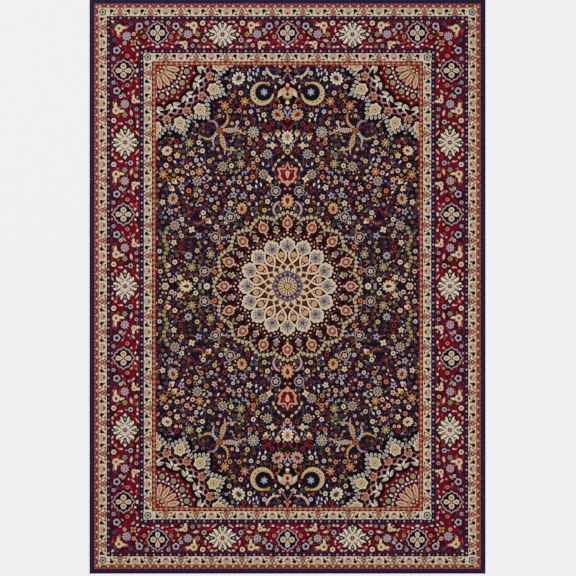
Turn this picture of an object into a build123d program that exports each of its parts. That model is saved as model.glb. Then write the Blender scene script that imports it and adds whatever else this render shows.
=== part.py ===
from build123d import *
import math
import os

# A flat pile rug of the machine-woven Persian kind. Millimetres. The rug lies on
# XY with its length along Y and its face up. The origin is at the middle of the
# underside.

# ---- Overall size -----------------------------------------------------------
rug_width = 2000.0
rug_length = 2900.0

# ---- Layers, from the floor up ------------------------------------------------
latex_thickness = 1.0
foundation_thickness = 2.4
pile_height = 8.6

# ---- Knots: the pattern zones are whole numbers of knots wide --------------------
knots_per_metre = 370
knot = 1000 / knots_per_metre

# ---- Side edges: a cord beside the cloth, overcast with yarn --------------------
cord_diameter = 6.0
overcast_yarn = 1.0
overcast_reach_knots = 4
cord_clearance = 0.1

# ---- Ends: the cloth is bound with a folded tape and stitched -------------------
tape_thickness = 1.0
tape_top_leg_knots = 3
tape_under_leg = 26.0
stitch_pitch = 12.0
stitch_length = 8.0
stitch_width = 1.2
stitch_height = 0.8
stitch_inset = 4.0

# ---- Border bands, from the rug's outline inwards, each so many knots wide -------
edge_band_knots = 10
outer_stripe_knots = 8
outer_guard_knots = 15
outer_pinstripe_knots = 7
main_border_knots = 55
inner_pinstripe_knots = 7
inner_guard_knots = 15
inner_stripe_knots = 8

# ---- Medallion and corner pieces: scalloped round the edge ----------------------
scallops_per_turn = 16
medallion_radius = 382.0
medallion_valley_radius = 344.0
spandrel_radius = 384.0
spandrel_valley_radius = 318.0

# ---- Derived --------------------------------------------------------------------
half_width = rug_width / 2
half_length = rug_length / 2
foundation_bottom = latex_thickness
foundation_top = foundation_bottom + foundation_thickness
cord_radius = cord_diameter / 2
overcast_radius = cord_radius + overcast_yarn
cord_x = half_width - overcast_radius
cord_z = overcast_radius
overcast_reach = overcast_reach_knots * knot
tape_top_leg = tape_top_leg_knots * knot
pile_half_width = half_width - overcast_reach
pile_half_length = half_length - tape_top_leg
foundation_half_width = cord_x - cord_radius - cord_clearance
foundation_half_length = half_length - tape_thickness

band_knots = {
    "edge_band": edge_band_knots,
    "outer_stripe": outer_stripe_knots,
    "outer_guard": outer_guard_knots,
    "outer_pinstripe": outer_pinstripe_knots,
    "main_border": main_border_knots,
    "inner_pinstripe": inner_pinstripe_knots,
    "inner_guard": inner_guard_knots,
    "inner_stripe": inner_stripe_knots,
}
border_width = sum(band_knots.values()) * knot
field_width = rug_width - 2 * border_width
field_length = rug_length - 2 * border_width

os.makedirs("parts", exist_ok=True)


def save(solid, name):
    """Labels a finished piece and writes it to its own file."""
    solid.label = name
    export_step(solid, f"parts/{name}.step")


def polar(radius, degrees):
    """The point at a radius and an angle from +X."""
    turn = math.radians(degrees)
    return (radius * math.cos(turn), radius * math.sin(turn))


def scalloped_disc(tip_radius, valley_radius):
    """A round face whose edge is one outward arc for each scallop."""
    step = 360 / scallops_per_turn
    with BuildSketch(mode=Mode.PRIVATE) as disc:
        with BuildLine():
            for scallop in range(scallops_per_turn):
                tip = scallop * step
                ThreePointArc(
                    polar(valley_radius, tip - step / 2),
                    polar(tip_radius, tip),
                    polar(valley_radius, tip + step / 2),
                )
        make_face()
    return disc.sketch


def ring_strips(outer, inner):
    """The four mitred outlines between two nested rectangles, given as half sizes."""
    (ox, oy), (ix, iy) = outer, inner
    return {
        "left": [(-ox, -oy), (-ix, -iy), (-ix, iy), (-ox, oy)],
        "right": [(ox, -oy), (ox, oy), (ix, iy), (ix, -iy)],
        "front": [(-ox, -oy), (ox, -oy), (ix, -iy), (-ix, -iy)],
        "back": [(-ox, oy), (-ix, iy), (ix, iy), (ox, oy)],
    }


# ---- Back coat: latex rolled onto the underside between the end tapes -----------
latex_size = (2 * pile_half_width, rug_length - 2 * tape_under_leg)
with BuildPart() as latex_coat:
    with BuildSketch(Plane.XY):
        Rectangle(*latex_size)
    extrude(amount=latex_thickness)
save(latex_coat.part, "latex_coat")

# ---- Foundation: the ground cloth of warp and weft that holds every tuft --------
with BuildPart() as foundation:
    with BuildSketch(Plane.XY.offset(foundation_bottom)):
        Rectangle(2 * foundation_half_width, 2 * foundation_half_length)
    extrude(amount=foundation_thickness)
save(foundation.part, "foundation")

# ---- Pile of the border bands: each ring is four strips mitred at the corners ---
outer = (pile_half_width, pile_half_length)
inset = 0.0
for band, knots in band_knots.items():
    inset += knots * knot
    inner = (half_width - inset, half_length - inset)
    for side, outline in ring_strips(outer, inner).items():
        with BuildPart() as strip:
            with BuildSketch(Plane.XY.offset(foundation_top)):
                with BuildLine():
                    Polyline(*outline, close=True)
                make_face()
            extrude(amount=pile_height)
        save(strip.part, f"{band}_{side}")
    outer = inner

# ---- Pile of the medallion -------------------------------------------------------
with BuildPart() as medallion:
    with BuildSketch(Plane.XY.offset(foundation_top)):
        add(scalloped_disc(medallion_radius, medallion_valley_radius))
    extrude(amount=pile_height)
save(medallion.part, "medallion")

# ---- Pile of the corner pieces: a quarter of a scalloped disc in each corner -----
field_corners = {
    "front_left": (-field_width / 2, -field_length / 2),
    "front_right": (field_width / 2, -field_length / 2),
    "back_left": (-field_width / 2, field_length / 2),
    "back_right": (field_width / 2, field_length / 2),
}
for corner, corner_point in field_corners.items():
    with BuildPart() as spandrel:
        with BuildSketch(Plane.XY.offset(foundation_top)):
            with Locations(corner_point):
                add(scalloped_disc(spandrel_radius, spandrel_valley_radius))
            Rectangle(field_width, field_length, mode=Mode.INTERSECT)
        extrude(amount=pile_height)
    save(spandrel.part, f"spandrel_{corner}")

# ---- Pile of the field: what the medallion and the corner pieces leave -----------
with BuildPart() as field:
    with BuildSketch(Plane.XY.offset(foundation_top)):
        Rectangle(field_width, field_length)
        add(scalloped_disc(medallion_radius, medallion_valley_radius), mode=Mode.SUBTRACT)
        with Locations(*field_corners.values()):
            add(scalloped_disc(spandrel_radius, spandrel_valley_radius), mode=Mode.SUBTRACT)
    extrude(amount=pile_height)
save(field.part, "field")

# ---- Side edges: the cord and the yarn that binds it to the foundation ------------
overcast_wall = foundation_top + overcast_yarn
for side, direction in {"left": -1, "right": 1}.items():
    edge_plane = Plane(
        origin=(0, -half_length, 0), x_dir=(direction, 0, 0), z_dir=(0, -direction, 0)
    )
    run = -direction * rug_length

    with BuildPart() as cord:
        with BuildSketch(edge_plane):
            with Locations((cord_x, cord_z)):
                Circle(cord_radius)
        extrude(amount=run)
    save(cord.part, f"side_cord_{side}")

    with BuildPart() as overcasting:
        with BuildSketch(edge_plane):
            with Locations((cord_x, cord_z)):
                Circle(overcast_radius)
            with Locations((pile_half_width, 0)):
                Rectangle(cord_x - pile_half_width, overcast_wall, align=Align.MIN)
            with Locations((pile_half_width, foundation_bottom)):
                Rectangle(
                    cord_x - pile_half_width,
                    foundation_thickness,
                    align=Align.MIN,
                    mode=Mode.SUBTRACT,
                )
            with Locations((cord_x, cord_z)):
                Circle(cord_radius, mode=Mode.SUBTRACT)
        extrude(amount=run)
    save(overcasting.part, f"side_overcasting_{side}")

# ---- Ends: the folded tape and its row of stitches --------------------------------
tape_width = 2 * pile_half_width
tape_top = foundation_top + tape_thickness
stitch_count = int((tape_width - stitch_length) // stitch_pitch) + 1
for end, direction in {"front": -1, "back": 1}.items():
    end_plane = Plane(
        origin=(-pile_half_width, 0, 0), x_dir=(0, direction, 0), z_dir=(direction, 0, 0)
    )

    with BuildPart() as tape:
        with BuildSketch(end_plane):
            with Locations((half_length, 0)):
                Rectangle(tape_under_leg, foundation_bottom, align=(Align.MAX, Align.MIN))
                Rectangle(tape_thickness, tape_top, align=(Align.MAX, Align.MIN))
            with Locations((half_length, tape_top)):
                Rectangle(tape_top_leg, tape_thickness, align=Align.MAX)
        extrude(amount=direction * tape_width)
    save(tape.part, f"end_tape_{end}")

    with BuildPart() as stitches:
        with BuildSketch(Plane.XY.offset(tape_top)):
            with Locations((0, direction * (half_length - stitch_inset))):
                with GridLocations(stitch_pitch, 0, stitch_count, 1):
                    SlotOverall(stitch_length, stitch_width)
        extrude(amount=stitch_height)
    save(stitches.part, f"tape_stitches_{end}")
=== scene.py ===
"""A machine-woven pile rug of the Persian kind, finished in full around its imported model.

The pattern is woven as on a loom. A cartoon gives the yarn of each knot in one quarter of
the rug, two mirrors give the rest, and each zone of pile is then built with one small face
to a knot. Lengths in the pattern are in millimetres and lengths in the scene in metres.
"""

import logging
import math
from collections.abc import Callable, Iterator
from dataclasses import dataclass, field
from enum import Enum

import bpy
import numpy as np
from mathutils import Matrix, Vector
from numpy.typing import NDArray


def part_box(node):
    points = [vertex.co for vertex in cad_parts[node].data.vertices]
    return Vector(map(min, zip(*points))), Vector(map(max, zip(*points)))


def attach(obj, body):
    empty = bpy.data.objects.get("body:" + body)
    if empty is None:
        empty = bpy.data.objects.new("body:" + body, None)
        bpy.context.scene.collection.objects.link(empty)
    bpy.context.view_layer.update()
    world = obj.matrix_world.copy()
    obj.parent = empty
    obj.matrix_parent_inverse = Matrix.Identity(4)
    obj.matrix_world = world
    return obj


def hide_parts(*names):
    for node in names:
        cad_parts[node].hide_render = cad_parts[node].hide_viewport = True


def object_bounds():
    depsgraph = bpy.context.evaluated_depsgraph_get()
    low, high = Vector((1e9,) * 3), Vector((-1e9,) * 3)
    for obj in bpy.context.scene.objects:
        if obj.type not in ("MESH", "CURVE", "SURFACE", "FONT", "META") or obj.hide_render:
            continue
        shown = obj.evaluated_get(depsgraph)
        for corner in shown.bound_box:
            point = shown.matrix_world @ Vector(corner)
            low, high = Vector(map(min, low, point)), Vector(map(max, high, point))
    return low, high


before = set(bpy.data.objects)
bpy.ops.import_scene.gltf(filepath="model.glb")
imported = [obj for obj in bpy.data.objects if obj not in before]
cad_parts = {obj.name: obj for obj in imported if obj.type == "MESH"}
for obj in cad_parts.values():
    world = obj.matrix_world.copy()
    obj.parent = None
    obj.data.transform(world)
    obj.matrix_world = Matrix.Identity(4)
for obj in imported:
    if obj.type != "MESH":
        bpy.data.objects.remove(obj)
cad_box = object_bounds()

logging.basicConfig(level=logging.INFO, format="%(message)s")
log = logging.getLogger("rug")

MM = 0.001
KNOTS_ACROSS = 740
STEPS_PER_KNOT = 2
SEED = 11
RICHNESS = 1.06
MERGE = 0.00002

Places = NDArray[np.complex128]
Floats = NDArray[np.float64]
Mask = NDArray[np.bool_]
Layers = Iterator[tuple[Mask, "Yarn"]]
Rim = tuple[tuple[float, float], ...]
Motif = Callable[[Places], Layers]
Piece = bpy.types.Object
Mesh = bpy.types.Mesh
Dye = bpy.types.Material


# ---- Yarns ----


class Yarn(Enum):
    """The dyed yarns on the loom, each as red, green and blue from 0 to 1, as seen."""

    BLACK = (0.055, 0.025, 0.045)
    NAVY = (0.085, 0.05, 0.125)
    EDGE_NAVY = (0.15, 0.10, 0.19)
    PLUM = (0.25, 0.11, 0.22)
    SLATE = (0.33, 0.29, 0.36)
    WINE = (0.24, 0.03, 0.08)
    CRIMSON = (0.38, 0.03, 0.14)
    ROSE = (0.48, 0.15, 0.21)
    BRICK = (0.40, 0.14, 0.09)
    RUST = (0.56, 0.32, 0.25)
    BLUSH = (0.74, 0.50, 0.42)
    ORANGE = (0.74, 0.44, 0.31)
    PINK = (0.87, 0.64, 0.54)
    BROWN = (0.33, 0.19, 0.13)
    OLIVE = (0.37, 0.31, 0.20)
    MOSS = (0.56, 0.52, 0.36)
    GOLD = (0.78, 0.65, 0.42)
    CREAM = (0.93, 0.82, 0.62)
    BONE = (0.92, 0.81, 0.65)
    IVORY = (0.99, 0.95, 0.85)
    LAVENDER = (0.62, 0.53, 0.60)
    MAUVE = (0.44, 0.31, 0.38)
    GREY = (0.62, 0.60, 0.60)
    ICE = (0.74, 0.74, 0.75)


PALETTE = list(Yarn)
(
    BLACK, NAVY, EDGE_NAVY, PLUM, SLATE, WINE, CRIMSON, ROSE, BRICK, RUST, BLUSH, ORANGE, PINK,
    BROWN, OLIVE, MOSS, GOLD, CREAM, BONE, IVORY, LAVENDER, MAUVE, GREY, ICE,
) = PALETTE


# ---- Shapes, as masks over places measured from a motif's middle ----


def disc(w: Places, radius: float) -> Mask:
    """A round spot."""
    return abs(w) < radius


def oval(w: Places, ahead: float, across: float) -> Mask:
    """An ellipse with these half sizes."""
    return (w.real / ahead) ** 2 + (w.imag / across) ** 2 < 1


def ring(w: Places, inner: float, outer: float) -> Mask:
    """A round band."""
    return (abs(w) > inner) & (abs(w) < outer)


def petals(w: Places, count: int, inner: float, outer: float, turn: float = 0.0) -> Mask:
    """A flower outline whose petals are full at the turn angle, in degrees."""
    wave = abs(np.cos(count * (np.angle(w) - math.radians(turn)) / 2))
    return abs(w) < inner + (outer - inner) * wave


def leaf(w: Places, length: float, width: float) -> Mask:
    """A leaf that starts at the origin and is pointed at both ends."""
    share = np.clip(w.real / length, 0, 1)
    return abs(w.imag) < width / 2 * np.sin(np.pi * share)


def drop(w: Places, length: float, width: float) -> Mask:
    """A leaf that starts at a point and is round at its far end."""
    share = np.clip(w.real / length, 0, 1)
    return abs(w.imag) < width * np.sqrt(share * (1 - share)) * (0.45 + 0.75 * share)


def bar(w: Places, start: complex, end: complex, width: float) -> Mask:
    """A straight stroke with round ends."""
    run = end - start
    along = np.clip(((w - start) * run.conjugate()).real / abs(run) ** 2, 0, 1)
    return abs(w - start - along * run) < width / 2


def arc(w: Places, radius: float, width: float, start: float, end: float) -> Mask:
    """A stroke along a circle between two angles in degrees, tapered to its ends."""
    share = np.clip((np.degrees(np.angle(w)) - start) / (end - start), 0, 1)
    return abs(abs(w) - radius) < width / 2 * np.sin(np.pi * share) ** 0.5


def fold(w: Places) -> Places:
    """The same place in the first quarter, so that a shape repeats in all four."""
    return abs(w.real) + 1j * abs(w.imag)


def halved(w: Places) -> Places:
    """The same place on the left of the way ahead, so that a shape repeats on the right."""
    return w.real + 1j * abs(w.imag)


def outline(w: Places, *points: tuple[float, float]) -> Mask:
    """A spiky shape through points, each an angle in degrees and a radius."""
    angles, radii = zip(*points)
    return abs(w) < np.interp(np.degrees(np.angle(w)), angles, radii)


def coats(w: Places, rim: Rim, *sizes: tuple[float, "Yarn"]) -> Layers:
    """The same spiky shape several times, each at its own size."""
    for size, yarn in sizes:
        yield outline(w / size, *rim), yarn


def scallops(w: Places, tip: float, valley: float, count: int = 16) -> Mask:
    """A disc whose edge is one outward arc for each scallop, with a tip straight ahead."""
    half = math.pi / count
    centre = (tip**2 - valley**2) / (2 * (tip - valley * math.cos(half)))
    turn = (np.angle(w) + half) % (2 * half) - half
    return (abs(abs(w) * np.exp(1j * turn) - centre) < tip - centre) | (abs(w) < centre)


# ---- Motifs, each a stack of coloured shapes from the ground up ----


def layered(stack: Callable[..., Layers]) -> Callable[..., Motif]:
    """Lets a stack of shapes take its yarns and sizes first, and its places later.

    Args:
        stack: Yields the shapes, and takes the places first.

    Returns:
        A function of the yarns and sizes that gives the motif.
    """

    def chosen(*choices: Yarn | float, **named: Yarn | float) -> Motif:
        """Keeps the yarns and sizes."""
        return lambda w: stack(w, *choices, **named)

    return chosen


@layered
def eye(w: Places, petal: Yarn, size: float = 13, heart: Yarn = BLACK, count: int = 5) -> Layers:
    """A small open flower with a dark heart."""
    yield petals(w, count, size * 1.2, size * 1.45), BLACK
    yield petals(w, count, size * 0.78, size), petal
    yield disc(w, size * 0.46), BLACK
    yield disc(w, size * 0.28), heart


@layered
def star(w: Places, petal: Yarn, size: float = 15, heart: Yarn = BRICK, count: int = 5) -> Layers:
    """A flower of separate pointed petals."""
    yield disc(w, size * 1.15), BLACK
    yield petals(w, count, size * 0.32, size), petal
    yield disc(w, size * 0.34), heart


@layered
def dash(w: Places, yarn: Yarn, length: float = 16, width: float = 7) -> Layers:
    """A single small leaf, centred."""
    yield leaf(w + length * 0.6, length * 1.2, width * 1.9), BLACK
    yield leaf(w + length / 2, length, width), yarn


@layered
def spot(w: Places, yarn: Yarn, ahead: float = 5, across: float = 4) -> Layers:
    """A small oval."""
    yield oval(w, ahead, across), yarn


@layered
def pair(w: Places, yarn: Yarn, length: float = 18, width: float = 7, spread: float = 32) -> Layers:
    """Two leaves that part from one foot."""
    for shade, wide in ((BLACK, width * 1.8), (yarn, width)):
        for side in (-spread, spread):
            turned = (w + length / 2) * np.exp(1j * math.radians(side))
            yield leaf(turned, length * 1.1, wide), shade


@layered
def tulip(w: Places, cup: Yarn, lip: Yarn, size: float = 15) -> Layers:
    """A flower seen from the side: a cup with a paler three-pointed lip ahead."""
    yield oval(w, size * 1.2, size * 1.1), BLACK
    yield petals(w - size * 0.3, 3, size * 0.42, size * 0.85), lip
    yield oval(w + size * 0.25, size * 0.62, size * 0.64), cup
    yield oval(w + size * 0.3, size * 0.25, size * 0.22), BLACK


@layered
def marigold(w: Places, petal: Yarn, core: Yarn, size: float = 26, count: int = 10) -> Layers:
    """A large flower of many narrow petals round a coloured core."""
    yield disc(w, size * 1.15), BLACK
    yield petals(w, count, size * 0.42, size), petal
    yield disc(w, size * 0.56), BLACK
    yield petals(w, 6, size * 0.2, size * 0.5), core
    yield disc(w, size * 0.2), BLACK
    yield disc(w, size * 0.11), CREAM


@layered
def cage(w: Places, wire: Yarn, inside: Yarn, size: float = 24, count: int = 8) -> Layers:
    """A flower inside a thin scalloped ring."""
    yield petals(w, count, size * 1.05, size * 1.2), BLACK
    yield petals(w, count, size * 0.86, size), wire
    yield petals(w, count, size * 0.7, size * 0.84), BLACK
    yield petals(w, 5, size * 0.22, size * 0.52), inside
    yield disc(w, size * 0.16), BRICK


@layered
def lotus(w: Places, rim: Yarn, body: Yarn, core: Yarn, size: float = 30) -> Layers:
    """A serrated fan palmette that points ahead."""
    tall = w.real * 0.86+1j * w.imag
    yield petals(tall, 11, size * 1.02, size * 1.2), BLACK
    yield petals(tall, 11, size * 0.6, size), rim
    yield petals(tall - size * 0.06, 11, size * 0.44, size * 0.74), body
    yield drop(w + size * 0.5, size * 1.05, size * 0.72), BLACK
    yield drop(w + size * 0.42, size * 0.86, size * 0.52), core
    yield oval(w - size * 0.1, size * 0.14, size * 0.12), BRICK


@layered
def crescent(w: Places, body: Yarn, seed: Yarn, size: float = 58) -> Layers:
    """A large C of scales with seeds along its belly, open ahead."""
    gap = abs(np.angle(w)) < math.radians(38)
    yield disc(w, size * 1.12) & ~gap, BLACK
    yield petals(w, 26, size * 0.96, size * 1.04) & ~gap, body
    yield ring(w - size * 0.17, size * 0.72, size * 0.78) & ~gap, OLIVE
    yield disc(w - size * 0.17, size * 0.72), NAVY
    for step in range(-3, 4):
        heart = -size * 0.76 * np.exp(1j * math.radians(27 * step))
        reach = size * (0.11 - 0.012 * abs(step))
        yield disc(w - heart, reach * 1.25), CREAM
        yield disc(w - heart, reach), seed
    for step in range(6):
        turned = (w - size * 0.22) * np.exp(1j * math.radians(60 * step))
        yield leaf(turned - size * 0.07, size * 0.26, size * 0.14), GREY
    yield disc(w - size * 0.22, size * 0.1), ICE


@layered
def plume(
    w: Places, scale: Yarn, seed: Yarn, length: float = 90, width: float = 20, bend: float = 0.25
) -> Layers:
    """A curved feather of scales that starts at the origin and tapers to its tip."""
    share = np.clip(w.real / length, 0, 1)
    across = w.imag - bend * length * np.sin(np.pi * share) * 0.5
    inside = (w.real > 0) & (w.real < length)
    reach = width / 2 * (1 - share * 0.7)
    beat = share * round(length / 12)
    yield inside & (abs(across) < reach * 1.5), BLACK
    yield inside & (abs(across) < reach * (1 + 0.25 * np.cos(2 * np.pi * beat))), scale
    pip = ((beat % 1 - 0.5) * 12) ** 2 + across**2 < (reach * 0.62) ** 2
    yield inside & pip, seed


# ---- The cloth that motifs are painted on ----


class Cloth:
    """A rectangle of the knot plan, with its own origin and its own two directions."""

    def __init__(self, code: NDArray[np.uint8], step: float) -> None:
        """Measures the places of a plan.

        Args:
            code: The yarn of every step, which painting changes.
            step: The size of one step.
        """
        rows, cols = code.shape
        across = (np.arange(cols) + 0.5) * step
        down = (np.arange(rows) + 0.5) * step
        self.code = code
        self.step = step
        self.place = across[None, :] + 1j * down[:, None]

    def fill(self, mask: Mask, yarn: Yarn) -> None:
        """Lays one yarn over a region."""
        self.code[mask] = PALETTE.index(yarn)

    def stamp(
        self, motif: Motif, at: complex, toward: complex = 1, reach: float = 45, keep: Mask | None = None
    ) -> None:
        """Paints a motif.

        Args:
            motif: The layers to paint, from the ground up.
            at: The place of its middle.
            toward: The way that it points.
            reach: How far from its middle it goes at most.
            keep: The region that it stays in.
        """
        col = max(int((at.real - reach) / self.step), 0)
        row = max(int((at.imag - reach) / self.step), 0)
        last_col = max(int((at.real + reach) / self.step) + 2, 0)
        last_row = max(int((at.imag + reach) / self.step) + 2, 0)
        window = (slice(row, last_row), slice(col, last_col))
        if not self.place[window].size:
            return
        w = (self.place[window] - at) / (toward / abs(toward))
        inside = abs(w) < reach
        if keep is not None:
            inside = inside & keep[window]
        region = self.code[window]
        for mask, yarn in motif(w):
            region[mask & inside] = PALETTE.index(yarn)

    def wreath(
        self, motif: Motif, radius: float, offset: float = 0.0, count: int = 16, reach: float = 60,
        outwards: bool = True,
    ) -> None:
        """Paints a motif at even angles round the origin, each one pointing out or in.

        Args:
            motif: The layers to paint.
            radius: How far each stands from the origin.
            offset: The angle of the first, as a share of one step.
            count: How many there are in a whole turn.
            reach: How far from its middle each goes at most.
            outwards: Whether they point away from the origin.
        """
        for step in range(count):
            way = np.exp(2j * math.pi * (step + offset) / count)
            self.stamp(motif, radius * way, way if outwards else -way, reach)


# ---- The layout of the rug, read from its frame ----


BANDS = (
    "edge_band",
    "outer_stripe",
    "outer_guard",
    "outer_pinstripe",
    "main_border",
    "inner_pinstripe",
    "inner_guard",
    "inner_stripe",
)
PILE_SLOTS = {
    "edge_band": "navy_pile",
    "pinstripe": "dotted_navy_pile",
    "stripe": "rust_pile",
    "guard": "ivory_pile",
    "main_border": "crimson_pile",
    "field": "field_pile",
    "medallion": "medallion_pile",
    "spandrel": "spandrel_pile",
}
CORNERS = ("front_left", "front_right", "back_left", "back_right")


@dataclass
class Layout:
    """Where each zone of the rug begins and ends, in millimetres.

    Args:
        width: The rug's whole width.
        length: The rug's whole length.
        insets: How far in each band's inner edge is, from the outline.
        medallion_tip: The medallion's radius at its scallops' tips.
        medallion_valley: The medallion's radius between two scallops.
        corner_tip: The same for the corner pieces.
        corner_valley: The same for the corner pieces.
    """

    width: float
    length: float
    insets: list[float]
    medallion_tip: float
    medallion_valley: float = 344.0
    corner_tip: float = 384.0
    corner_valley: float = 318.0

    @classmethod
    def from_frame(cls) -> "Layout":
        """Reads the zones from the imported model.

        Returns:
            The layout that the model's nodes have.
        """
        low, high = cad_box
        width, length = ((high[axis] - low[axis]) / MM for axis in (0, 1))
        insets = [width / 2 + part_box(f"{band}_left")[1][0] / MM for band in BANDS]
        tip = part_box("medallion")[1][0] / MM
        return cls(width, length, insets, tip)

    @property
    def knot(self) -> float:
        """The pitch of the knots."""
        return self.width / KNOTS_ACROSS

    def span(self, band: str) -> tuple[float, float]:
        """How far in a band starts and ends."""
        place = BANDS.index(band)
        return (self.insets[place - 1] if place else 0.0), self.insets[place]


# ---- The patterns of the bands ----


@dataclass
class Run:
    """One straight stretch of border, seen from its middle towards a corner.

    Args:
        cloth: The plan, with distance from the middle first and depth second.
        half: The distance from the middle to the rug's corner.
        is_end: Whether it runs along an end of the rug and not along a side.
    """

    cloth: Cloth
    half: float
    is_end: bool

    def band(self, start: float, end: float) -> Mask:
        """The region between two depths, cut off at the mitre."""
        place = self.cloth.place
        mitre = place.real + place.imag < self.half + self.cloth.step
        return (place.imag >= start) & (place.imag < end) & mitre


@dataclass
class PlainBand:
    """A band in one yarn."""

    yarn: Yarn

    def paint(self, run: Run, start: float, end: float) -> None:
        """Lays the band between two depths."""
        run.cloth.fill(run.band(start, end), self.yarn)


@dataclass
class SwagStripe:
    """A narrow stripe with a row of swags hanging from its outer edge."""

    pitch: float
    ground: Yarn = RUST
    swag: Yarn = BRICK
    core: Yarn = MAUVE

    def paint(self, run: Run, start: float, end: float) -> None:
        """Lays the stripe between two depths."""
        keep = run.band(start, end)
        place = run.cloth.place - 1j * start
        beat = (place.real / self.pitch + 0.5) % 1 - 0.5
        w = beat * self.pitch + 1j * place.imag
        deep = end - start
        run.cloth.fill(keep, self.ground)
        run.cloth.fill(keep & oval(w, self.pitch * 0.42, deep * 0.84), self.swag)
        run.cloth.fill(keep & oval(w, self.pitch * 0.26, deep * 0.46), self.core)
        between = (beat % 1 - 0.5) * self.pitch + 1j * (place.imag - deep * 0.6)
        run.cloth.fill(keep & oval(between, self.pitch * 0.12, deep * 0.2), PINK)


@dataclass
class DottedStripe:
    """A dark stripe with a row of pale dots, every other one small and dim."""

    pitch: float = 42.0
    ground: Yarn = NAVY

    def paint(self, run: Run, start: float, end: float) -> None:
        """Lays the stripe between two depths."""
        keep = run.band(start, end)
        run.cloth.fill(keep, self.ground)
        middle = (start + end) / 2
        for beat, yarn, ahead, across in (
            (0.0, MAUVE, 6.5, 5.4),
            (0.0, LAVENDER, 4.6, 4.0),
            (0.5, PLUM, 5.0, 4.6),
            (0.5, MAUVE, 2.6, 3.0),
        ):
            along = ((run.cloth.place.real / self.pitch + beat + 0.5) % 1 - 0.5) * self.pitch
            w = along + 1j * (run.cloth.place.imag - middle)
            run.cloth.fill(keep & oval(w, ahead, across), yarn)


@layered
def guard_unit(w: Places) -> Layers:
    """One repeat, centred on its diamond, with its outer side up."""
    m = abs(w.real) + 1j * w.imag
    yield oval(m - (0+37j), 16, 7), RUST
    yield bar(m, 40+22j, 52+38j, 6), MOSS
    yield bar(m, 15+3j, 29+21j, 6.5), BROWN
    yield bar(m, 10+27j, 22+34j, 6), BROWN
    yield oval(m - (42+14j), 11.5, 8.6), BLACK
    yield oval(m - (47+26j), 5, 5), BLACK
    yield oval(m - (30+33j), 6.4, 5.4), BLACK
    lozenge = abs(m.real) * 0.95 + abs(m.imag - 17)
    yield lozenge < 16, BLACK
    yield lozenge < 11, RUST
    yield lozenge < 6, LAVENDER
    yield disc(m - 17j, 2.6), WINE
    yield disc(m - 4j, 3.4), WINE
    yield oval(m - (76.6+17j), 19, 14), MOSS
    yield petals(m - (76.6+17j), 8, 9, 13), BLUSH
    yield oval(m - (76.6+14j), 9, 5.5), GREY
    yield oval(m - (76.6+29j), 12, 6), RUST
    yield oval(m - (76.6+28j), 4.6, 7.0), BRICK


@dataclass
class GuardStripe:
    """The ivory guard: rosettes and diamonds in turn, with a broken vine between them.

    Args:
        unit: The length of one repeat.
        shift: Where the first diamond stands, as a share of a unit.
    """

    shift: float
    unit: float = 153.3

    def paint(self, run: Run, start: float, end: float) -> None:
        """Lays the guard between two depths."""
        keep = run.band(start, end)
        run.cloth.fill(keep, BONE)
        run.cloth.fill(keep & run.band(start, start + 2.5), RUST)
        unit_motif = guard_unit()
        for step in range(int(run.half / self.unit) + 2):
            at = (step + self.shift) * self.unit + 1j * start
            run.cloth.stamp(unit_motif, at, 1, self.unit * 0.62, keep)


@layered
def shield(w: Places) -> Layers:
    """The dark lobed motif, with its inward side ahead."""
    rim = ((0, 62), (9, 52), (22, 49), (33, 53), (45, 46), (57, 53), (70, 49), (82, 52), (90, 60))
    m = fold(w)
    yield from coats(m, rim, (1.1, WINE), (1, LAVENDER), (0.89, BLACK))
    for side in (-1, 1):
        yield drop(side * w - 7, 31, 25), CREAM
        yield drop(side * w - 14, 19, 13), BROWN
        yield drop(side * w - 18, 12, 6), GOLD
    yield disc(m - 22j, 13.5), CREAM
    yield disc(m - 22j, 8.5), BROWN
    yield disc(m - 22j, 4.0), GREY
    yield disc(w, 5), LAVENDER
    yield disc(w, 2.4), WINE


@layered
def sunburst(w: Places) -> Layers:
    """The ivory star, long along the band, with its inward side ahead."""
    rim = (
        *((0, 68), (7, 54), (14, 61), (22, 53), (31, 38), (40, 58), (47, 64)),
        *((54, 42), (62, 58), (68, 56), (73, 72), (79, 56), (84, 72), (90, 86)),
    )
    m = fold(w)
    yield from coats(m, rim, (1.2, WINE), (1.1, BLACK), (1, IVORY))
    yield oval(m - 18, 15, 22), CREAM
    yield oval(m - 22j, 20, 20), CREAM
    yield bar(m, 6+30j, 30+42j, 7), BROWN
    yield bar(m, 22+8j, 38+26j, 7), BROWN
    yield bar(m, 12+24j, 26+22j, 6), OLIVE
    yield bar(m, 18+36j, 22+52j, 5), BLACK
    yield bar(m, 34+12j, 44+20j, 5), BLACK
    yield drop(m - 30, 30, 22), BLACK
    yield oval(m - 46, 7, 4), MOSS
    yield oval(m - 54j, 11, 17), BLACK
    yield oval(m - 56j, 4, 9), MOSS
    yield bar(m, 4+70j, 9+66j, 3), OLIVE
    yield abs(m.real) + abs(m.imag) < 19, LAVENDER
    yield petals(w, 4, 7, 12, 45), WINE
    yield disc(w, 3), PINK


@layered
def horned(w: Places, size: float = 20) -> Layers:
    """A gold flower with two horns."""
    m = halved(w)
    yield disc(w, size * 1.15), WINE
    yield leaf((m - 8j) * np.exp(-1j * math.radians(38)), size * 1.9, 12), CREAM
    yield petals(w, 6, size * 0.86, size), GOLD
    yield petals(w, 6, size * 0.66, size * 0.78, 30), CREAM
    yield petals(w, 6, size * 0.25, size * 0.55), OLIVE
    yield disc(w, size * 0.14), BLACK


@layered
def thistle(w: Places, size: float = 22) -> Layers:
    """A round head of pale spikes."""
    yield petals(w, 9, size * 0.95, size * 1.15), WINE
    yield petals(w, 9, size * 0.5, size), GREY
    yield petals(w, 9, size * 0.2, size * 0.6, 20), SLATE
    yield oval(w + size * 0.2, size * 0.25, size * 0.3), MAUVE
    yield disc(w, size * 0.14), CREAM


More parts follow.
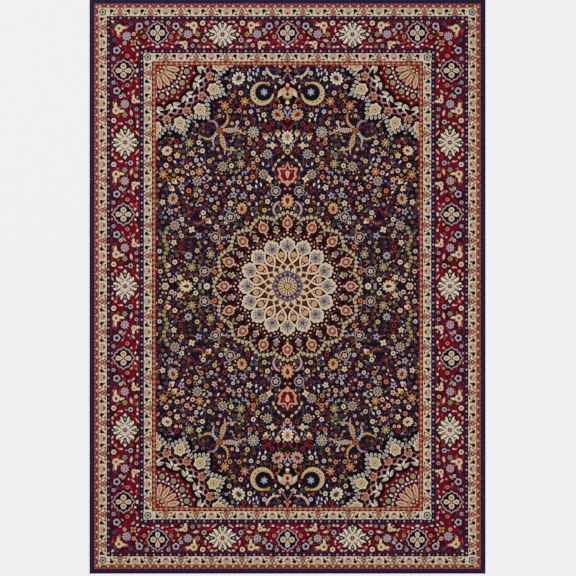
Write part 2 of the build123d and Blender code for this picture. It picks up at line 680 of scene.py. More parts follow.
@dataclass
class MainBorder:
    """The crimson border: two large motifs in turn on a ground strewn with small flowers.

    Args:
        end_pitch: The step from one large motif to the next along the ends.
        side_pitch: The same along the sides.
        small_reach: How far the strewn flowers go past the last motif, towards the corner.
    """

    end_pitch: float = 327.0
    side_pitch: float = 362.0
    small_reach: float = 112.0

    def around_shield(self) -> list[tuple[complex, complex, Motif]]:
        """What stands beside a shield: places from its middle line, ways and motifs."""
        return [
            (0+135j, 1, spot(IVORY, 9, 4.5)),
            (24+126j, 1+0.4j, spot(IVORY, 6, 3.5)),
            (46+106j, 1-0.6j, spot(PINK, 6, 4)),
            (73+136j, 1, spot(IVORY, 6, 4)),
            (49+131j, 1+0.5j, dash(ORANGE, 20, 8)),
            (54+16j, 1j, eye(GREY, 10)),
            (92+32j, 1j, eye(LAVENDER, 19, BLACK)),
            (82+61j, 1+1j, dash(PINK, 14, 6)),
            (67+86j, 1j, eye(ORANGE, 11, BRICK)),
            (112+68j, 1+1j, dash(MOSS, 34, 12)),
            (118+52j, 1j, eye(ICE, 9)),
            (96+115j, -1+1j, dash(GREY, 26, 11)),
            (121+136j, 1, dash(PINK, 14, 6)),
            (137+120j, -1+1j, horned(14)),
            (136+24j, 1-1j, eye(SLATE, 9)),
            (150+16j, 1+0.4j, dash(ORANGE, 22, 8)),
            (152+73j, -1j, thistle()),
            (182+29j, -1+1j, horned(20)),
            (176+131j, 1j, eye(LAVENDER, 10)),
            (22+8j, 1, dash(PINK, 14, 5)),
            (110+8j, 1, dash(ROSE, 16, 5)),
            (60+45j, 1+2j, dash(ROSE, 12, 5)),
            (104+92j, 1, spot(PINK, 5, 4)),
            (128+88j, 1-1j, dash(ROSE, 14, 5)),
        ]

    def around_sunburst(self) -> list[tuple[complex, complex, Motif]]:
        """What stands beside a sunburst."""
        return [
            (100+17j, -1j, eye(CREAM, 13, SLATE, 6)),
            (55+11j, 1, spot(PINK, 8, 5)),
            (33+11j, 1-0.4j, dash(PINK, 20, 7)),
            (69+27j, 1, eye(PINK, 7, ROSE)),
            (86+56j, 1j, spot(CREAM, 6, 4)),
            (86+44j, 1+2j, dash(PINK, 14, 5)),
            (125+73j, 1j, star(MOSS, 15, SLATE, 6)),
            (93+102j, -1j, eye(GREY, 13, BLACK, 6)),
            (92+80j, 1j, dash(LAVENDER, 16, 7)),
            (134+105j, 1-0.2j, dash(PINK, 34, 13)),
            (152+129j, 1j, eye(PINK, 10)),
            (119+134j, 1j, star(MOSS, 10, SLATE)),
            (93+137j, 1, spot(PINK, 7, 5)),
            (74+136j, 1, spot(IVORY, 6, 4)),
            (43+135j, 1-0.75j, dash(PINK, 36, 7)),
            (120+40j, 1+1j, spot(MAUVE, 6, 5)),
            (70+115j, 1, spot(ROSE, 6, 4)),
            (140+30j, 1+1j, dash(ROSE, 14, 5)),
        ]

    def corner(self, quarter: Cloth, start: float) -> None:
        """Fills the mitre with its own flowers.

        Args:
            quarter: The quarter of the rug.
            start: How far in the border begins.
        """
        outer = start * (1+1j)
        for at, toward, motif in (
            (43+43j, 1+1j, horned(21)),
            (82+83j, -1-1j, thistle(23)),
            (116+116j, 1+1j, star(ORANGE, 18, BRICK, 4)),
            (22+24j, 1+1j, eye(SLATE, 10)),
            (102+20j, 1+1j, eye(SLATE, 11)),
            (20+102j, 1+1j, eye(SLATE, 11)),
            (78+40j, 1-1j, dash(PINK, 18, 7)),
            (40+78j, -1+1j, dash(PINK, 18, 7)),
            (118+72j, 1+1j, eye(PINK, 10)),
            (72+118j, 1+1j, eye(PINK, 10)),
            (76+12j, 1, dash(ROSE, 18, 7)),
            (12+76j, 1j, dash(ROSE, 18, 7)),
            (132+50j, 1+1j, spot(PINK, 6, 4)),
            (50+132j, 1+1j, spot(PINK, 6, 4)),
            (136+140j, 1+1j, spot(IVORY, 6, 4)),
        ):
            quarter.stamp(motif, outer + at, toward)

    def paint(self, run: Run, start: float, end: float) -> None:
        """Lays the border between two depths."""
        cloth, keep = run.cloth, run.band(start, end)
        place = cloth.place - 1j * start
        pitch = self.end_pitch if run.is_end else self.side_pitch
        cloth.fill(keep, CRIMSON)
        for wave, phase in ((47.0, 0.0), (31.0, 2.0)):
            swirl = np.sin(place.real / wave + phase + 1.7 * np.sin(place.imag / 19))
            cloth.fill(keep & (swirl * np.cos(place.imag / 13 + phase) > 0.55), WINE)
        for wave, phase, yarn in ((23.0, 0.7, ROSE), (17.0, 2.9, MAUVE), (29.0, 4.4, RUST)):
            curl = np.sin(place.real / wave + 2.1 * np.sin(place.imag / 14 + phase))
            cloth.fill(keep & (curl * np.cos(place.imag / 11 - phase) > 0.93), yarn)
        cloth.fill(keep & run.band(start, start + 3), PLUM)
        cloth.fill(keep & run.band(end - 3, end), PLUM)
        stretch = pitch / self.end_pitch
        for step in range(int(run.half / pitch) + 1):
            middle = step * pitch + 1j * start
            is_shield = (step % 2 == 0) == run.is_end
            beside = self.around_shield() if is_shield else self.around_sunburst()
            last = (step + 1) * pitch > run.half - end
            for at, toward, motif in beside:
                for side in (-1, 1):
                    along = side * at.real * stretch
                    if last and along > self.small_reach:
                        continue
                    way = complex(side * complex(toward).real, complex(toward).imag)
                    cloth.stamp(motif, middle + along + 1j * at.imag, way, 45, keep)
        for step in range(int(run.half / pitch) + 1):
            is_shield = (step % 2 == 0) == run.is_end
            if step * pitch > run.half - end:
                continue
            if is_shield:
                cloth.stamp(shield(), step * pitch + 1j * (start + 66), 1j, 75, keep)
            else:
                cloth.stamp(sunburst(), step * pitch + 1j * (start + 74), 1j, 110, keep)


# ---- The medallion, the corner pieces and the field ----


@layered
def rosette_petal(w: Places) -> Layers:
    """One pointed petal of the rosette, from the middle of its length."""
    m = halved(w)
    near = ((0, 47), (13, 36), (28, 41), (44, 35), (62, 41))
    rim = (*near, (82, 37), (110, 38), (145, 36), (180, 38))
    yield from coats(m, rim, (1.15, BLACK), (1, BONE), (0.8, MOSS))
    yield petals(w, 13, 20, 33), CREAM
    yield petals(w, 13, 14, 31, 14), MOSS
    yield petals(w + 4, 9, 14, 25), MAUVE
    yield petals(w + 4, 9, 9, 18, 20), GREY
    yield petals(w + 5, 5, 6, 14), PLUM
    yield disc(w + 5, 3.6), MAUVE
    yield disc(w - 25, 4), SLATE
    yield bar(m, -4+22j, 10+26j, 4), OLIVE


@layered
def mesh_bud(w: Places) -> Layers:
    """The small flower that fills each mesh of the outer lattice."""
    yield drop(w + 28, 44, 30), BLACK
    yield petals(w - 4, 7, 12, 17), ORANGE
    yield petals(w - 4, 5, 5, 13), GOLD
    yield disc(w - 4, 4.5), RUST
    yield disc(w + 20, 3.6), CREAM


@layered
def scallop_palmette(w: Places) -> Layers:
    """The pointed red flower that stands in each scallop."""
    m = halved(w)
    near = ((0, 42), (12, 28), (30, 29), (46, 22), (66, 27))
    rim = (*near, (90, 22), (116, 27), (150, 25), (180, 26))
    yield from coats(m, rim, (1.3, BLACK), (1, PINK), (0.8, BRICK))
    yield petals(w, 9, 9, 21), RUST
    yield petals(w, 9, 7, 15, 20), WINE
    yield petals(w, 6, 4, 10), GOLD
    yield disc(w - 26, 4), GOLD


@layered
def scale_leaf(w: Places) -> Layers:
    """A short triangular leaf with a dark core."""
    m = halved(w)
    rim = ((0, 13), (60, 8), (120, 10), (180, 9))
    yield from coats(m, rim, (1.35, BLACK), (1, MOSS), (0.62, CREAM))
    yield disc(w, 3.2), BLACK


@dataclass
class Medallion:
    """The round centre piece: a lattice rosette inside a wreath, sixteenfold.

    Args:
        tip: The wreath's radius at its scallops' tips.
        valley: Its radius between two scallops.
    """

    tip: float
    valley: float
    step: float = 22.5

    def lattice(self, cloth: Cloth, inner: float, outer: float, wide: float, yarn: Yarn) -> None:
        """Draws two sets of S-curves that cross midway between two radii, and at both."""
        radius = abs(cloth.place)
        turn = np.degrees(np.angle(cloth.place))
        share = np.clip((radius - inner) / (outer - inner), 0, 1)
        sway = self.step * (share - np.sin(4 * np.pi * share) * 0.07)
        inside = (radius > inner) & (radius < outer)
        for side in (-1, 1):
            off = (turn - side * sway) % self.step - self.step / 2
            cloth.fill(inside & (abs(np.radians(off) * radius) < wide / 2), yarn)

    def paint(self, cloth: Cloth) -> None:
        """Lays the medallion about the origin of its cloth."""
        place, fill, wreath = cloth.place, cloth.fill, cloth.wreath
        radius, turn = abs(place), np.degrees(np.angle(place))
        body = scallops(place, self.tip, self.valley)
        fill(body, NAVY)
        inside = scallops(place, self.tip - 22, self.valley - 24)
        fill(inside, WINE)
        flecks = np.cos(np.radians(turn * 64)) * np.sin(radius / 5)
        fill(inside & (abs(flecks) > 0.3), BLACK)
        fill(inside & (flecks < -0.8), MAUVE)
        self.chain(cloth, body)
        fill(petals(place, 16, 268, 300, 11.25) & body, BLACK)
        fill(petals(place, 16, 244, 286), PLUM)
        fill(petals(place, 16, 240, 280), BLACK)
        fill(petals(place, 16, 224, 262), WINE)
        wreath(spot(PINK, 5, 4.6), 270, 0.0)
        for offset, far in ((0.16, 262), (0.31, 246), (0.5, 240), (0.69, 246), (0.84, 262)):
            wreath(spot(PINK, 4.6, 4.2), far, offset)
        for offset, far in ((0.12, 292), (0.38, 298), (0.62, 298), (0.88, 292)):
            wreath(spot(ROSE, 4.4, 4.4), far, offset)
        wreath(pair(MAUVE, 24, 7, 48), 262, 0.5)
        wreath(star(GOLD, 17, ORANGE, 4), 283, 0.5)
        wreath(eye(LAVENDER, 11, PLUM), 297, 0.5)
        wreath(pair(MOSS, 26, 8, 40), 320, 0.5, outwards=False)
        for offset in (0.24, 0.76):
            wreath(dash(ROSE, 16, 7), 312, offset)
            wreath(dash(GREY, 14, 6), 338, offset)
        wreath(scallop_palmette(), 318)
        wreath(spot(PINK, 6, 5), 286)
        fill(disc(place, 200), BLACK)
        wreath(rosette_petal(), 205)
        fill(petals(place, 16, 152, 172), BLACK)
        self.inner(cloth, radius, turn)
        self.meshes(cloth, radius, turn)
        wreath(mesh_bud(), 158, 0.5)

    def meshes(self, cloth: Cloth, radius: Floats, turn: Floats) -> None:
        """Draws the pot-shaped ivory mesh round each bud."""
        beside = np.radians(abs(turn % self.step - self.step / 2)) * radius
        edge = np.interp(radius, (120, 136, 156, 174, 190, 204), (0, 14, 24, 22, 11, 3))
        near = (radius > 116) & (radius < 206)
        cloth.fill(near & (beside < edge + 8), BLACK)
        cloth.fill(near & (beside < edge + 4.5), BONE)
        cloth.fill(near & (beside < edge - 4.5), BLACK)

    def chain(self, cloth: Cloth, body: Mask) -> None:
        """Sets the row of leaves along the scalloped rim."""
        for offset, far, lean in (
            (0.0, 0, 0), (0.14, 2, 30), (0.27, 7, 40), (0.4, 13, 40),
            (0.5, 17, 0), (0.6, 13, -40), (0.73, 7, -40), (0.86, 2, -30),
        ):
            for step in range(16):
                way = np.exp(2j * math.pi * (step + offset) / 16)
                toward = way * np.exp(1j * math.radians(lean))
                at = (self.tip - 12 - far * 1.6) * way
                cloth.stamp(scale_leaf(), at, toward, 20, body)

    def inner(self, cloth: Cloth, radius: Floats, turn: Floats) -> None:
        """Lays the lattices and the middle rings."""
        place, fill, wreath = cloth.place, cloth.fill, cloth.wreath
        fill(disc(place, 152), PLUM)
        fill(ring(place, 60, 120), BROWN)
        wreath(spot(GOLD, 16, 12), 83)
        wreath(spot(MAUVE, 9, 6), 83)
        wreath(spot(BLACK, 4, 3), 83)
        wreath(spot(BLACK, 11, 9), 106, 0.5)
        wreath(spot(BRICK, 7, 6), 106, 0.5)
        wreath(spot(BLACK, 12, 13), 128)
        wreath(spot(BRICK, 8, 6), 124)
        self.lattice(cloth, 64, 124, 9.0, GOLD)
        self.lattice(cloth, 64, 124, 5.0, BONE)
        away = self.step / 2
        for side in (-1, 1):
            share = np.clip((radius - 124) / 30, 0, 1)
            off = (turn - away * (1 - share) * side + away) % self.step - away
            near = (radius > 124) & (radius < 156)
            fill(near & (abs(np.radians(off) * radius) < 3.0), CREAM)
        fill(petals(place, 8, 72, 78), PLUM)
        fill(petals(place, 8, 67, 73), SLATE)
        fill(petals(place, 8, 58, 64), PLUM)
        wreath(spot(LAVENDER, 6, 4), 61, count=16, offset=0.5)
        wreath(spot(PLUM, 3, 5), 61, count=16)
        fill(disc(place, 51), SLATE)
        fill(disc(place, 48), MOSS)
        wreath(spot(GOLD, 7, 3.4), 40, 0.5)
        fill(ring(place, 18, 34), CREAM)
        spokes = abs((turn + away) % self.step - away) * np.radians(1) * radius
        fill(ring(place, 15, 44) & (spokes < 3.4 - abs(radius - 28) / 12), BLACK)
        fill(disc(place, 17), BLACK)
        fill(petals(place, 8, 7, 15), PINK)
        fill(petals(place, 8, 2, 8, self.step), WINE)
        fill(disc(place, 2.5), PINK)


@layered
def corner_petal(w: Places) -> Layers:
    """A blush petal of the rosette in the corner."""
    yield oval(w, 34, 14), BROWN
    yield oval(w - 1, 30, 11), CREAM
    yield oval(w - 1, 27, 8.5), BLUSH
    yield drop(w + 20, 38, 8), RUST


@layered
def bracket(w: Places) -> Layers:
    """A forked ivory leaf with a black notch."""
    m = halved(w)
    yield oval(w, 30, 38), BLACK
    yield leaf((m + 8) * np.exp(-0.55j), 38, 15), IVORY
    yield leaf((m + 10) * np.exp(-1.2j), 44, 15), BONE
    yield leaf(w + 14, 32, 12), MOSS
    yield leaf(w + 22, 32, 12), BLACK
    yield bar(m, -2+9j, 12+19j, 5), BLACK
    yield bar(m, -6+18j, 2+34j, 4), BLACK


@layered
def horseshoe(w: Places) -> Layers:
    """An orange crescent flower."""
    yield disc(w, 26), BLACK
    yield petals(w, 7, 15, 23), PINK
    yield petals(w, 7, 12, 19), RUST
    yield disc(w - 4, 11), BLACK
    yield petals(w - 4, 5, 4, 9), ORANGE
    yield bar(w, 10+0j, 26+0j, 9), BLACK


@layered
def finial(w: Places) -> Layers:
    """A spiky gold flower with a long point."""
    m = halved(w)
    near = ((0, 50), (11, 28), (24, 33), (38, 24), (54, 33), (72, 24))
    rim = (*near, (92, 32), (118, 24), (148, 32), (180, 24))
    yield from coats(m, rim, (1.2, BLACK), (1, CREAM), (0.8, GOLD))
    yield oval(w - 2, 17, 15), BROWN
    yield oval(w - 2, 13, 11), CREAM
    yield petals(w - 2, 6, 4, 10), OLIVE
    yield disc(w - 26, 3.5), RUST


@layered
def chain_block(w: Places) -> Layers:
    """One leaf of the chain, long across the way that it points."""
    yield oval(w, 11, 17), BLACK
    yield oval(w, 7.4, 13), GREY
    yield oval(w, 4.6, 9), BONE
    yield oval(w, 3, 5), BLACK


@dataclass
class CornerPiece:
    """A quarter rosette in the field's corner, on the medallion's sixteenfold plan.

    Args:
        tip: Its radius at its scallops' tips.
        valley: Its radius between two scallops.
    """

    tip: float
    valley: float
    step: float = 22.5

    def paint(self, cloth: Cloth) -> None:
        """Lays the corner piece about the origin of its cloth."""
        place, fill, wreath = cloth.place, cloth.fill, cloth.wreath
        radius, turn = abs(place), np.degrees(np.angle(place))
        body = scallops(place, self.tip, self.valley)
        fill(body, BLACK)
        fill(scallops(place, self.tip - 30, self.valley - 30), NAVY)
        self.chain(cloth, body)
        sway = 6 * np.cos(np.radians(turn * 32))
        for wide, yarn in ((20, BLACK), (13, MAUVE), (6, BLUSH)):
            fill(abs(radius - 254 - sway * 1.5) < wide / 2, yarn)
        fill(abs(radius - 268 + sway * 1.3) < 2.2, RUST)
        wreath(spot(PINK, 5, 7), 246, 0.25)
        wreath(spot(PINK, 5, 7), 246, 0.75)
        wreath(dash(LAVENDER, 20, 8), 322, 0.5)
        wreath(spot(ICE, 4, 4), 304, 0.5)
        wreath(horseshoe(), 277, 0.5)
        wreath(finial(), 312, reach=70)
        fill(petals(place, 16, 205, 216), BLACK)
        fill(petals(place, 16, 199, 208), CRIMSON)
        flecks = np.sin(radius / 5) * np.cos(np.radians(turn * 48))
        fill(ring(place, 112, 200) & (flecks > 0.25), BLACK)
        fill(ring(place, 112, 200) & (flecks < -0.7), ROSE)
        wreath(bracket(), 220)
        wreath(star(ROSE, 13, PINK, 4), 194, 0.5)
        wreath(eye(MOSS, 15, GREY, 8), 158, 0.5)
        wreath(dash(IVORY, 22, 9), 152)
        wreath(spot(PINK, 4, 4), 176, 0.2)
        wreath(spot(PINK, 4, 4), 176, 0.8)
        wreath(dash(LAVENDER, 15, 8), 131)
        wreath(spot(IVORY, 4, 5), 134, 0.3)
        wreath(spot(IVORY, 4, 5), 134, 0.7)
        fill(petals(place, 16, 112, 124, 11.25), BLACK)
        wreath(dash(BLUSH, 56, 13), 90)
        wreath(dash(BRICK, 34, 6), 86)
        wreath(corner_petal(), 88, 0.5)
        wreath(spot(LAVENDER, 5, 4), 112)
        fill(disc(place, 61), BROWN)
        fill(ring(place, 48, 60), MOSS)
        wreath(spot(OLIVE, 3, 3), 54, count=32)
        fill(disc(place, 46), BRICK)
        wreath(spot(IVORY, 4, 4), 40, count=12, offset=0.5)
        wreath(spot(PINK, 4, 4), 24, count=8, offset=0.5)

    def chain(self, cloth: Cloth, body: Mask) -> None:
        """Sets the row of leaf blocks along the scalloped rim."""
        count = 9
        for step in range(5 * count):
            share = step / count
            lean = (share + 0.5) % 1 - 0.5
            dip = (self.tip - self.valley) * min(1, abs(lean) * 2)
            way = np.exp(1j * math.radians((share) * self.step))
            toward = way * np.exp(1j * (math.pi / 2 + math.copysign(0.55, lean)))
            cloth.stamp(chain_block(), (self.tip - 15 - dip) * way, toward, 24, body)


@layered
def moustache(w: Places) -> Layers:
    """Two curling arms under a flower on the long axis, seen along its stem."""
    m = halved(w)
    for wide, yarn in ((26, BLACK), (17, ROSE), (9, GREY)):
        yield arc(m + 30-30j, 40, wide, -35, 150), yarn
    yield oval(m + 22-34j, 12, 8), BLACK
    yield oval(m + 24-34j, 8, 4), ICE


@layered
def axis_palmette(w: Places) -> Layers:
    """The winged palmette near each end of the field, seen along its stem."""
    m = halved(w)
    yield oval(w + 2, 58, 50), BLACK
    yield leaf((m + 34-14j) * np.exp(-0.62j), 62, 20), CREAM
    yield leaf((m + 30-12j) * np.exp(-1.0j), 44, 15), GOLD
    yield petals(w + 4, 9, 24, 31), MOSS
    yield petals(w + 4, 9, 17, 23, 20), GOLD
    yield drop(w + 58, 44, 24), ROSE
    yield oval(w + 46, 9, 8), PINK
    yield oval(w, 11, 9), CRIMSON
    yield oval(w - 29, 9, 13), BRICK
    yield oval(w - 30, 4, 7), ORANGE


@layered
def royal_palmette(w: Places) -> Layers:
    """The great red palmette above and below the medallion."""
    rim = (
        *((0, 68), (9, 48), (20, 38), (34, 40), (48, 56), (60, 62), (70, 50)),
        *((84, 42), (102, 50), (122, 42), (142, 50), (160, 44), (180, 60)),
    )
    m = halved(w)
    yield from coats(m, rim, (1.15, BLACK), (1, ORANGE), (0.84, PINK), (0.76, CRIMSON))
    yield bar(m, -6+8j, 22+26j, 8), BLACK
    yield bar(m, -6+8j, 20+24j, 4), RUST
    yield drop(w + 24, 50, 34), BLACK
    yield drop(w + 19, 42, 25), ORANGE
    yield drop(w + 12, 30, 15), CREAM
    yield drop(w + 6, 18, 7), OLIVE
    yield disc(w + 34, 6), PINK


@dataclass
class Field:
    """The dark field: set flowers where the eye rests, and a strewn ground between them.

    Args:
        layout: The rug's zones.
        pitch: The step of the strewn ground.
    """

    layout: Layout
    pitch: float = 23.0

    def set_flowers(self) -> list[tuple[Motif, list[complex]]]:
        """The small and middling flowers, each kind with its places."""
        return [
            (eye(CREAM, 12), [
                810+406j, 554+726j, 576+1080j, 828+780j, 718+843j, 900+1023j, 433+1328j, 468+1113j,
                389+841j, 572+769j, 538+1416j, 881+587j,
            ]),
            (eye(PINK, 12), [
                707+444j, 765+477j, 493+849j, 444+868j, 798+628j, 963+545j, 417+1421j, 757+925j,
                360+1375j, 522+879j,
            ]),
            (eye(ORANGE, 12.5, BRICK), [
                592+948j, 407+809j, 811+728j, 829+850j, 565+1013j, 664+1251j, 757+565j, 633+1378j,
                503+969j, 825+899j,
            ]),
            (eye(GOLD, 12, OLIVE), [
                900+433j, 850+814j, 633+1053j, 545+1271j, 467+1196j, 538+990j, 607+820j, 795+1128j,
                884+1067j, 513+728j,
            ]),
            (eye(ICE, 11, SLATE), [816+571j, 541+815j, 616+1015j, 356+1273j, 664+1104j, 883+377j]),
            (eye(ROSE, 13, WINE), [
                442+721j, 780+361j, 864+727j, 802+1108j, 463+1252j, 683+1017j, 953+768j, 881+640j,
                904+653j, 924+632j,
            ]),
            (star(PINK, 15, BRICK), [517+781j, 642+1151j, 705+927j, 632+958j, 468+914j, 825+1000j]),
            (star(CREAM, 15, OLIVE), [
                444+792j, 457+1406j, 713+1033j, 969+419j, 428+1230j, 371+1027j, 808+953j,
            ]),
            (marigold(ORANGE, GOLD, 22, 7), [374+887j, 557+873j, 685+541j, 784+519j]),
            (star(LAVENDER, 18, PLUM), [466+950j, 729+990j, 552+1196j, 779+994j, 409+1075j]),
            (marigold(GREY, ORANGE, 26), [546+920j, 879+886j, 433+1144j, 899+785j, 673+847j]),
            (marigold(MOSS, GOLD, 23, 8), [613+1289j, 506+728j, 518+1354j, 765+834j]),
            (cage(GREY, PINK, 26), [941+971j, 712+1101j, 637+1202j, 582+1375j, 828+674j]),
            (star(CREAM, 17, ORANGE, 4), [924+741j, 909+910j, 518+1165j]),
            (eye(MOSS, 12, OLIVE), [711+567j, 727+491j]),
            (eye(MOSS, 11, GOLD, 4), [
                complex(386 + 9 * math.cos(step * 1.3), 1158 + 21 * step) for step in range(11)
            ]),
            (dash(IVORY, 19, 7.5), [
                860+608j, 889+615j, 801+446j, 929+399j, 929+706j, 584+852j, 433+824j, 568+811j, 579+906j,
                651+905j, 498+887j, 405+932j, 471+977j, 876+834j, 866+938j, 844+922j, 823+1087j,
                845+1036j, 842+948j, 940+446j,
            ]),
            (dash(ICE, 22, 8), [810+364j, 801+380j, 828+378j, 851+362j, 844+383j]),
            (tulip(ORANGE, CREAM, 17), [
                770+1061j, 423+1016j, 952+677j, 890+695j, 415+956j, 428+920j, 393+1345j, 600+1120j,
            ]),
        ]

    def grand_flowers(self) -> list[tuple[Motif, complex, complex]]:
        """The large motifs: each with its place and the way that it points."""
        middle = self.layout.width / 2
        centre = (self.layout.width + 1j * self.layout.length) / 2
        star_middle = 655+665j
        arms = (
            (36-78j, GOLD, 88, 0.2),
            (92-44j, ICE, 96, 0.3),
            (115+18j, PINK, 120, -0.12),
            (-88+22j, GOLD, 92, -0.3),
            (-20+70j, ICE, 78, 0.2),
            (26+110j, PINK, 112, -0.1),
            (88+92j, GOLD, 124, 0.3),
            (-52-44j, LAVENDER, 66, 0.25),
        )
        grand: list[tuple[Motif, complex, complex]] = [
            (plume(yarn, BRICK, length, 15, bend * 2.2), star_middle + way / 9, way)
            for way, yarn, length, bend in arms
        ]
        grand += [
            (marigold(ORANGE, BRICK, 15, 7), star_middle, 1),
            (plume(CREAM, RUST, 84, 13, 0.4), 893+352j, 72+44j),
            (plume(RUST, BROWN, 58, 14, 0.6), 528+1130j, 46-24j),
            (plume(GREY, OLIVE, 76, 16, -0.3), 990+1000j, -62+50j),
            (plume(GREY, ORANGE, 60, 15, 0.3), 985+765j, -30-55j),
            (lotus(IVORY, MOSS, CRIMSON, 31), 753+404j, 1-1j),
            (lotus(GREY, ORANGE, BRICK, 30), 952+587j, -1-0.6j),
            (lotus(CREAM, PINK, ROSE, 24), 393+768j, 1-0.4j),
            (lotus(GREY, ORANGE, BRICK, 27), 423+1010j, 0.4-1j),
            (lotus(GOLD, ORANGE, BRICK, 26), 770+1058j, 1j),
            (marigold(GREY, GOLD, 31, 12), 828+674j, 1),
            (crescent(GOLD, BRICK), 872+480j, 1-0.75j),
            (star(GREY, 21, PLUM, 8), 501+1296j, 1),
        ]
        grand += [
            (star(ORANGE, 20, BRICK, 4), middle + 364j, 1j),
            (pair(MAUVE, 62, 11, 30), middle + 400j, 1j),
            (axis_palmette(), middle + 483j, 1j),
            (spot(IVORY, 7, 9), middle + 526j, 1j),
            (spot(PINK, 7, 9), middle + 552j, 1j),
            (pair(GREY, 40, 8, 26), middle + 575j, -1j),
            (tulip(BRICK, ORANGE, 18), middle + 610j, -1j),
            (pair(ROSE, 44, 11, 40), middle + 645j, -1j),
            (pair(GREY, 60, 9, 34), middle + 728j, 1j),
            (lotus(IVORY, GOLD, ORANGE, 30), middle + 702j, -1j),
            (eye(GOLD, 14, BRICK), middle + 772j, 1j),
            (royal_palmette(), middle + 889j, -1j),
            (moustache(), middle + 1034j, -1j),
            (lotus(ORANGE, GOLD, BRICK, 34), middle + 1022j, -1j),
        ]
        grand += [
            (dash(GOLD, 22, 12), at, way)
            for at, way in (
                (978+798j, -1+1j),
                (956+816j, -1+1j),
                (940+838j, -0.6+1j),
                (929+860j, -0.2+1j),
            )
        ]
        grand += [
            (eye(GOLD, 19, LAVENDER, 6), 385 + centre.imag * 1j, 1),
            (lotus(GOLD, CREAM, CRIMSON, 32), 488 + centre.imag * 1j, 1),
            (eye(CREAM, 16, ORANGE, 8), 594 + centre.imag * 1j, 1),
            (dash(CREAM, 34, 15), 648 + centre.imag * 1j, 1),
            (dash(ORANGE, 30, 12), 348+805j, 1+1.4j),
        ]
        return grand

    def vines(self, cloth: Cloth) -> None:
        """Lays thin stems that wind through the ground."""
        place = cloth.place
        for yarn, wave, tilt, wide in (
            (PLUM, 61.0, 0.7, 0.14),
            (PLUM, 83.0, 2.1, 0.10),
            (BROWN, 71.0, 1.3, 0.08),
            (SLATE, 97.0, 2.8, 0.05),
        ):
            turned = place * np.exp(1j * tilt)
            bend = 1.3 * np.sin(turned.imag / wave * 2.3 + tilt)
            lines = np.sin(turned.real / wave * 3.1 + bend)
            cloth.fill(abs(lines) < wide, yarn)

    def strew(self, cloth: Cloth, taken: Mask) -> None:
        """Fills what is still free with small flowers, leaves and buds.

        Args:
            cloth: The quarter of the rug.
            taken: The steps of the plan that a set flower already covers.
        """
        rng = np.random.default_rng(SEED)
        flowers = [
            eye(CREAM, 8.5),
            eye(PINK, 8.5, WINE),
            eye(MAUVE, 9, WINE),
            eye(RUST, 9),
            eye(GREY, 8),
            star(ROSE, 10, BLACK),
            star(OLIVE, 10, BLACK),
            eye(SLATE, 9, PLUM),
            star(BRICK, 11, PINK),
            eye(MOSS, 8, BROWN),
        ]
        leaves = [
            dash(PLUM, 17, 8),
            dash(WINE, 17, 8),
            dash(MAUVE, 14, 6),
            dash(SLATE, 15, 6),
            dash(BROWN, 16, 7),
            dash(OLIVE, 14, 6),
            pair(PLUM, 18, 7),
            dash(CREAM, 14, 6),
            dash(PINK, 13, 6),
            dash(ICE, 14, 5),
            dash(RUST, 15, 7),
            pair(GREY, 17, 5),
            pair(MOSS, 17, 5),
            pair(BRICK, 19, 7),
        ]
        for stock, size, pitch in ((flowers, 11, self.pitch * 1.45), (leaves, 7, self.pitch * 0.78)):
            reach = int(size / cloth.step)
            rows = int(self.layout.length / 2 / pitch) + 1
            cols = int(self.layout.width / 2 / pitch) + 1
            for row in range(rows):
                for col in range(cols):
                    jitter = rng.uniform(-0.34, 0.34, 2)
                    turn = rng.uniform(0, 2 * math.pi)
                    motif = stock[rng.integers(len(stock))]
                    at = pitch * complex(col + row % 2 / 2 + jitter[0], row + jitter[1])
                    home = (int(at.imag / cloth.step), int(at.real / cloth.step))
                    if home[0] >= taken.shape[0] or home[1] >= taken.shape[1]:
                        continue
                    near = tuple(slice(max(place - reach, 0), place + reach) for place in home)
                    if taken[near].size and taken[near].mean() > 0.2:
                        continue
                    cloth.stamp(motif, at, complex(math.cos(turn), math.sin(turn)), size * 2)
                    taken[near] = True

    def paint(self, cloth: Cloth) -> None:
        """Lays the field over the whole quarter, to be covered by what stands on it."""
        cloth.fill(cloth.place.real > 0, NAVY)
        self.vines(cloth)
        taken = np.zeros(cloth.code.shape, bool)
        centre = (self.layout.width + 1j * self.layout.length) / 2
        set_flowers = self.set_flowers()
        grand = self.grand_flowers()
        sizes: list[tuple[complex, float]] = []
        sizes += [(at, 15) for _, places in set_flowers for at in places]
        sizes += [(at + way / abs(way) * 8, 30) for _, at, way in grand]
        for at, size in sizes:
            taken |= abs(cloth.place - at) < size
        self.strew(cloth, taken)
        for motif, places in set_flowers:
            for at in places:
                cloth.stamp(motif, at, centre - at)
        for motif, at, way in grand:
            cloth.stamp(motif, at, way, 130)


